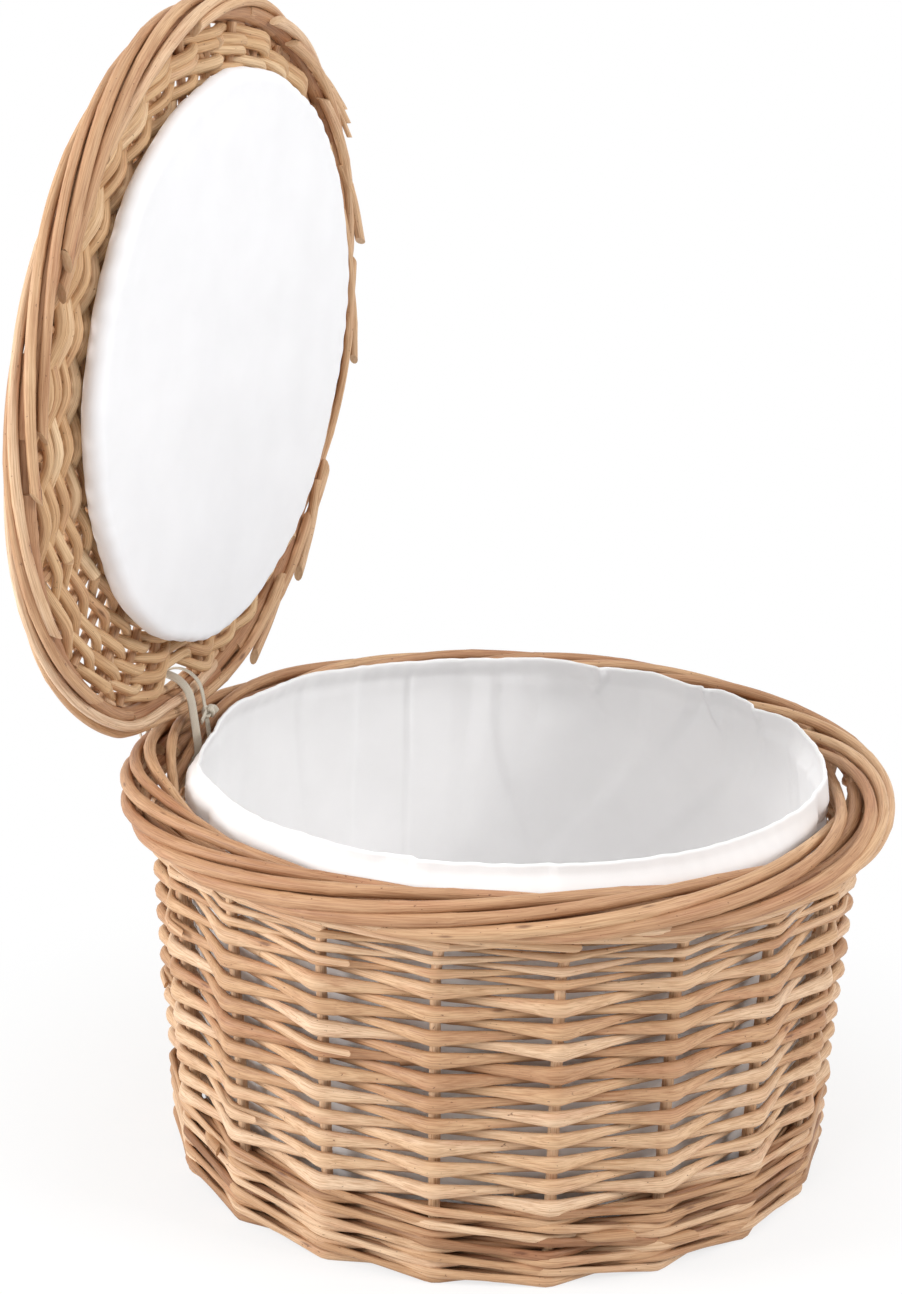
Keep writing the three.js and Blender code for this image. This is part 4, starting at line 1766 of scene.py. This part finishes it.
@dataclass
class Lashing(Part):
    """The flat strap that ties the lid's border to the basket's, with its knot.

    Args:
        width: width of the strap.
        flat: its thickness for its width.
        near: distance of its nearer turn along the hinge.
        far: distance of the other turn.
        lift: how far the crossing turn lies above the other.
        off_border: how far its middle lies off the basket's border.
        off_lid: how far its middle lies from the middle of the lid's border.
        knot_height: height of the knot below the hinge line.
        under: angles about the basket's border at which a turn is led round it.
        over: angles about the lid's border at which a turn is led round it.
        tails: side, and length, of the tape's two ends at the knot.
    """

    width: float = 3.5
    flat: float = 0.28
    near: float = 18.2
    far: float = 5.7
    lift: float = 1.6
    off_border: float = 1.2
    off_lid: float = 10.1
    knot_height: float = 9.7
    under: tuple[float, ...] = (165, 200, 225, 250, 275, 300)
    over: tuple[float, ...] = (15, 35, 62, 90, 118, 145, 165)
    tails: tuple[tuple[int, float], ...] = ((1, 9.0), (-1, 5.0))

    def on_basket(self, angle: float, y: float, lift: float = 0.0) -> Array:
        """A point of the strap at an angle about the basket's border.

        Args:
            angle: the angle, 0 outward and 90 up.
            y: distance along the hinge.
            lift: how far it lies off another turn.

        Returns:
            The point.
        """
        turn = math.radians(angle)
        ring = self.shape.ring_radius
        wide = self.shape.border_half_width + self.off_border + lift
        high = self.shape.border_half_height + self.off_border + lift
        sag = ring - math.sqrt(ring ** 2 - y ** 2)
        drop = self.shape.hinge_z - self.shape.border_z
        return np.array([wide * math.cos(turn) - sag, y, high * math.sin(turn) - drop])

    def on_lid(self, angle: float, y: float) -> Array:
        """A point of the strap at an angle about the lid's border.

        Args:
            angle: the angle, 0 outward and 90 up.
            y: distance along the hinge.

        Returns:
            The point.
        """
        ring = self.shape.lid_ring_radius
        reach = self.off_lid + ring - math.sqrt(ring ** 2 - (y + self.width / 2) ** 2)
        turn = math.radians(angle)
        return np.array([reach * math.cos(turn), y, reach * math.sin(turn)])

    def turn(self, start: float, end: float, lift: float) -> list[Array]:
        """One turn, under the basket's border, out and back over the lid's.

        Args:
            start: distance along the hinge at which it starts.
            end: distance at which it ends.
            lift: how far it lies off the other turn.

        Returns:
            Its points.
        """
        outside = [self.on_basket(330, (start + end) / 2, lift), self.on_basket(375, end, lift / 2)]
        under = [self.on_basket(angle, start) for angle in self.under]
        return under + outside + [self.on_lid(angle, end) for angle in self.over]

    def knot_middle(self) -> Array:
        """Where the knot is, on the strap's inner side."""
        high = self.on_lid(self.over[-1], self.far)
        low = self.on_basket(self.under[0], self.far)
        return high + (low - high) * self.knot_height / max(1e-6, high[2] - low[2]) * 0.95

    def strap(self, bundle: Bundle) -> None:
        """Lays the strap's two turns from the knot and back to it."""
        middle = self.knot_middle()
        turns = self.turn(self.far, self.near, 0.0) + self.turn(self.near, self.far, self.lift)
        line = smoothed(resampled(rounded([middle, *turns, middle], 2.2), bundle.step), 2)
        along = np.array([0.0, 1.0, 0.0])
        half = self.width / 2
        bundle.add(Rod(line, half, half, flat=self.flat, side=along), 0.6)

    def knot(self, bundle: Bundle) -> None:
        """Ties the knot, a round of three loops with two loose ends."""
        middle = self.knot_middle()
        deep, wide, high = 0.62, 0.95, 1.68
        inward, size = -1.3, 1.25
        turns = np.linspace(0, 2 * math.pi, 60)
        loops = np.column_stack([
            deep * (np.cos(turns) - 2 * np.cos(2 * turns)),
            wide * (np.sin(turns) + 2 * np.sin(2 * turns)),
            high * -np.sin(3 * turns),
        ])
        bundle.add(Rod(loops + middle + [inward, 0, 0], size, size, flat=0.6), 0.6)
        for way, length in self.tails:
            line = [middle, middle + [-1.9, way * 3.5, 0.8], middle + [-2.6, way * length, -1.6]]
            bundle.add(Rod(rounded(line, 2.0), 1.6, 1.5, flat=self.flat, side=UP), 0.7)

    def build(self) -> None:
        """Builds the strap and the knot."""
        rng = np.random.default_rng(SEED + 700)
        strap, knot = Bundle(rng, sides=12, step=1.4), Bundle(rng, sides=10, step=0.7)
        self.strap(strap)
        self.knot(knot)
        place = self.shape.hinge_place()
        tape = strap.build("lashing_tape", self.finish, place)
        fitted(tape, Body.BASKET, "lashing_strap")
        tied = knot.build("lashing_tied_end", self.finish, place)
        fitted(tied, Body.BASKET, "lashing_knot")


# Studio


@dataclass
class Studio:
    """The camera, a pale floor and soft lamps.

    Args:
        camera_place: where the camera is, in metres.
        target: what it points at, in metres.
        lens: its focal length for a 36 mm frame height.
        roll: how far it is turned about its own axis, in degrees.
        lamp_target: what the lamps point at, in metres.
        lamps: name, place in metres, size in metres and power in watts of each lamp.
        surround: brightness of the surround.
    """

    camera_place: Spot = (-0.02235, -0.9612, 0.50268)
    target: Spot = (-0.02235, 0.0, 0.20043)
    lens: float = 73.25
    roll: float = 1.16
    lamp_target: Spot = (0, 0, 0.15)
    lamps: tuple[tuple[str, Spot, float, float], ...] = (
        ("key", (-0.8, -1.5, 1.7), 0.6, 8.5),
        ("fill", (1.6, -0.7, 1.3), 0.7, 20.0),
        ("side", (-1.7, -0.5, 0.7), 0.6, 23.0),
        ("top", (0.2, 0.0, 2.1), 1.0, 9.0),
    )
    surround: float = 0.475

    def camera(self) -> None:
        """Makes the scene's camera."""
        data = bpy.data.cameras.new("camera")
        data.lens = self.lens
        data.sensor_width = 36
        data.sensor_fit = "AUTO"
        data.clip_end = 100
        camera = bpy.data.objects.new("camera", data)
        way = Vector(self.target) - Vector(self.camera_place)
        aim = way.to_track_quat("-Z", "Y").to_matrix().to_4x4()
        aim = aim @ Matrix.Rotation(math.radians(self.roll), 4, "Z")
        camera.matrix_world = Matrix.Translation(Vector(self.camera_place)) @ aim
        bpy.context.scene.collection.objects.link(camera)
        bpy.context.scene.camera = camera

    def lamp(self, name: str, place: Spot, size: float, power: float) -> None:
        """Adds a soft square lamp that points at the basket.

        Args:
            name: its name.
            place: where it is, in metres.
            size: length of a side, in metres.
            power: its power in watts.
        """
        data = bpy.data.lights.new(name, "AREA")
        data.size = size
        data.energy = power
        lamp = bpy.data.objects.new(name, data)
        lamp.location = place
        way = Vector(self.lamp_target) - Vector(place)
        lamp.rotation_euler = way.to_track_quat("-Z", "Y").to_euler()
        bpy.context.scene.collection.objects.link(lamp)

    def floor(self) -> None:
        """A wide white floor that keeps the basket's shadow, and fades a little further out."""
        mesh = bpy.data.meshes.new("floor")
        reach = 12.0
        corners = [(-reach, -reach, 0), (reach, -reach, 0), (reach, reach, 0), (-reach, reach, 0)]
        mesh.from_pydata(corners, [], [(0, 1, 2, 3)])
        floor = bpy.data.objects.new("floor", mesh)
        bpy.context.scene.collection.objects.link(floor)
        graph = Graph(bpy.data.materials.new("floor_white"))
        lit = graph.node("BsdfPrincipled", Base_Color=(0.93, 0.93, 0.93, 1), Roughness=0.9,
                         Specular_IOR_Level=0.1)
        bright = graph.node("Emission", Strength=1.0)
        away = graph.node("VectorMath", operation="LENGTH",
                          Vector=graph.node("TexCoord").outputs["Object"])
        far, near_share = graph.fade(away.outputs["Value"], 0.15, 0.28), 0.75
        share = graph.plus(graph.times(far, 1 - near_share), near_share)
        mesh.materials.append(graph.done(graph.both(graph.times(graph.seen(), share), lit, bright)))

    def world(self) -> None:
        """An even pale surround, which the camera itself sees as white."""
        graph = Graph(bpy.data.worlds.new("surround"))
        level = graph.node("MapRange", Value=graph.seen(), To_Min=self.surround, To_Max=1.0)
        background = graph.node("Background", Color=(1, 1, 1, 1), Strength=level.outputs["Result"])
        bpy.context.scene.world = graph.done(background, "OutputWorld")

    def build(self) -> None:
        """Sets the stage."""
        self.camera()
        self.floor()
        self.world()
        for lamp in self.lamps:
            self.lamp(*lamp)
        bpy.context.scene.view_settings.view_transform = "Standard"


def main() -> None:
    """Builds the sub-assemblies in order."""
    logging.basicConfig(level=logging.INFO, format="%(name)s: %(message)s")
    Studio().build()
    shape = Shape()
    willow = WillowFinish().material()
    # The darker willow of the foot and the sticks; its darker darks and paler pales are partly
    # painted shade and painted highlight.
    dark_willow_painted_contrast = WillowFinish(
        name="foot_willow", dark=linear(134, 90, 60), middle=linear(200, 160, 122),
        pale=linear(240, 211, 178)).material()
    # The lid's web gets a paler willow than the rest: painted light that offsets the shade the
    # lid's border and pad cast on the web.
    lid_web_willow_painted_light = WillowFinish(
        name="lid_web_willow_painted_light", dark=linear(184, 138, 96), middle=linear(222, 186, 143),
        pale=linear(240, 212, 174)).material()
    cotton = CottonFinish().material()
    pad_cotton = CottonFinish(name="pad_cotton", colour=linear(247, 247, 249)).material()
    tape = TapeFinish().material()
    WovenDisc("base", Body.BASKET, willow, dark_willow_painted_contrast, arms=(4, 4), first_angle=0.0,
              stick_radius=2.4, radius=116.6, height=7.7).build()
    WovenWall(shape, willow, dark_willow_painted_contrast).build()
    RolledBorder(shape, willow).build()
    Lining(shape, cotton).build()
    Lashing(shape, tape).build()
    lid_rods = 18
    strap = (Lashing.near + Lashing.far) / 2
    strap_angle = math.degrees(math.atan2(strap, LidBorder.web_radius))
    lid_angle = strap_angle + FULL_TURN / lid_rods / 2
    WovenDisc("lid", Body.LID, lid_web_willow_painted_light, dark_willow_painted_contrast, arms=(5, 4), first_angle=lid_angle,
              stick_radius=2.1, radius=130.2, rod_radius=2.35, pitch=1.52, bend=3.4, parted=66.0,
              closing=0.85, gap=strap_angle, bulge=shape.lid_edge).build(shape.lid_place())
    LidBorder(shape, willow, lid_rods, lid_angle).build()
    LidPad(shape, pad_cotton).build()


if __name__ == "__main__":
    main()
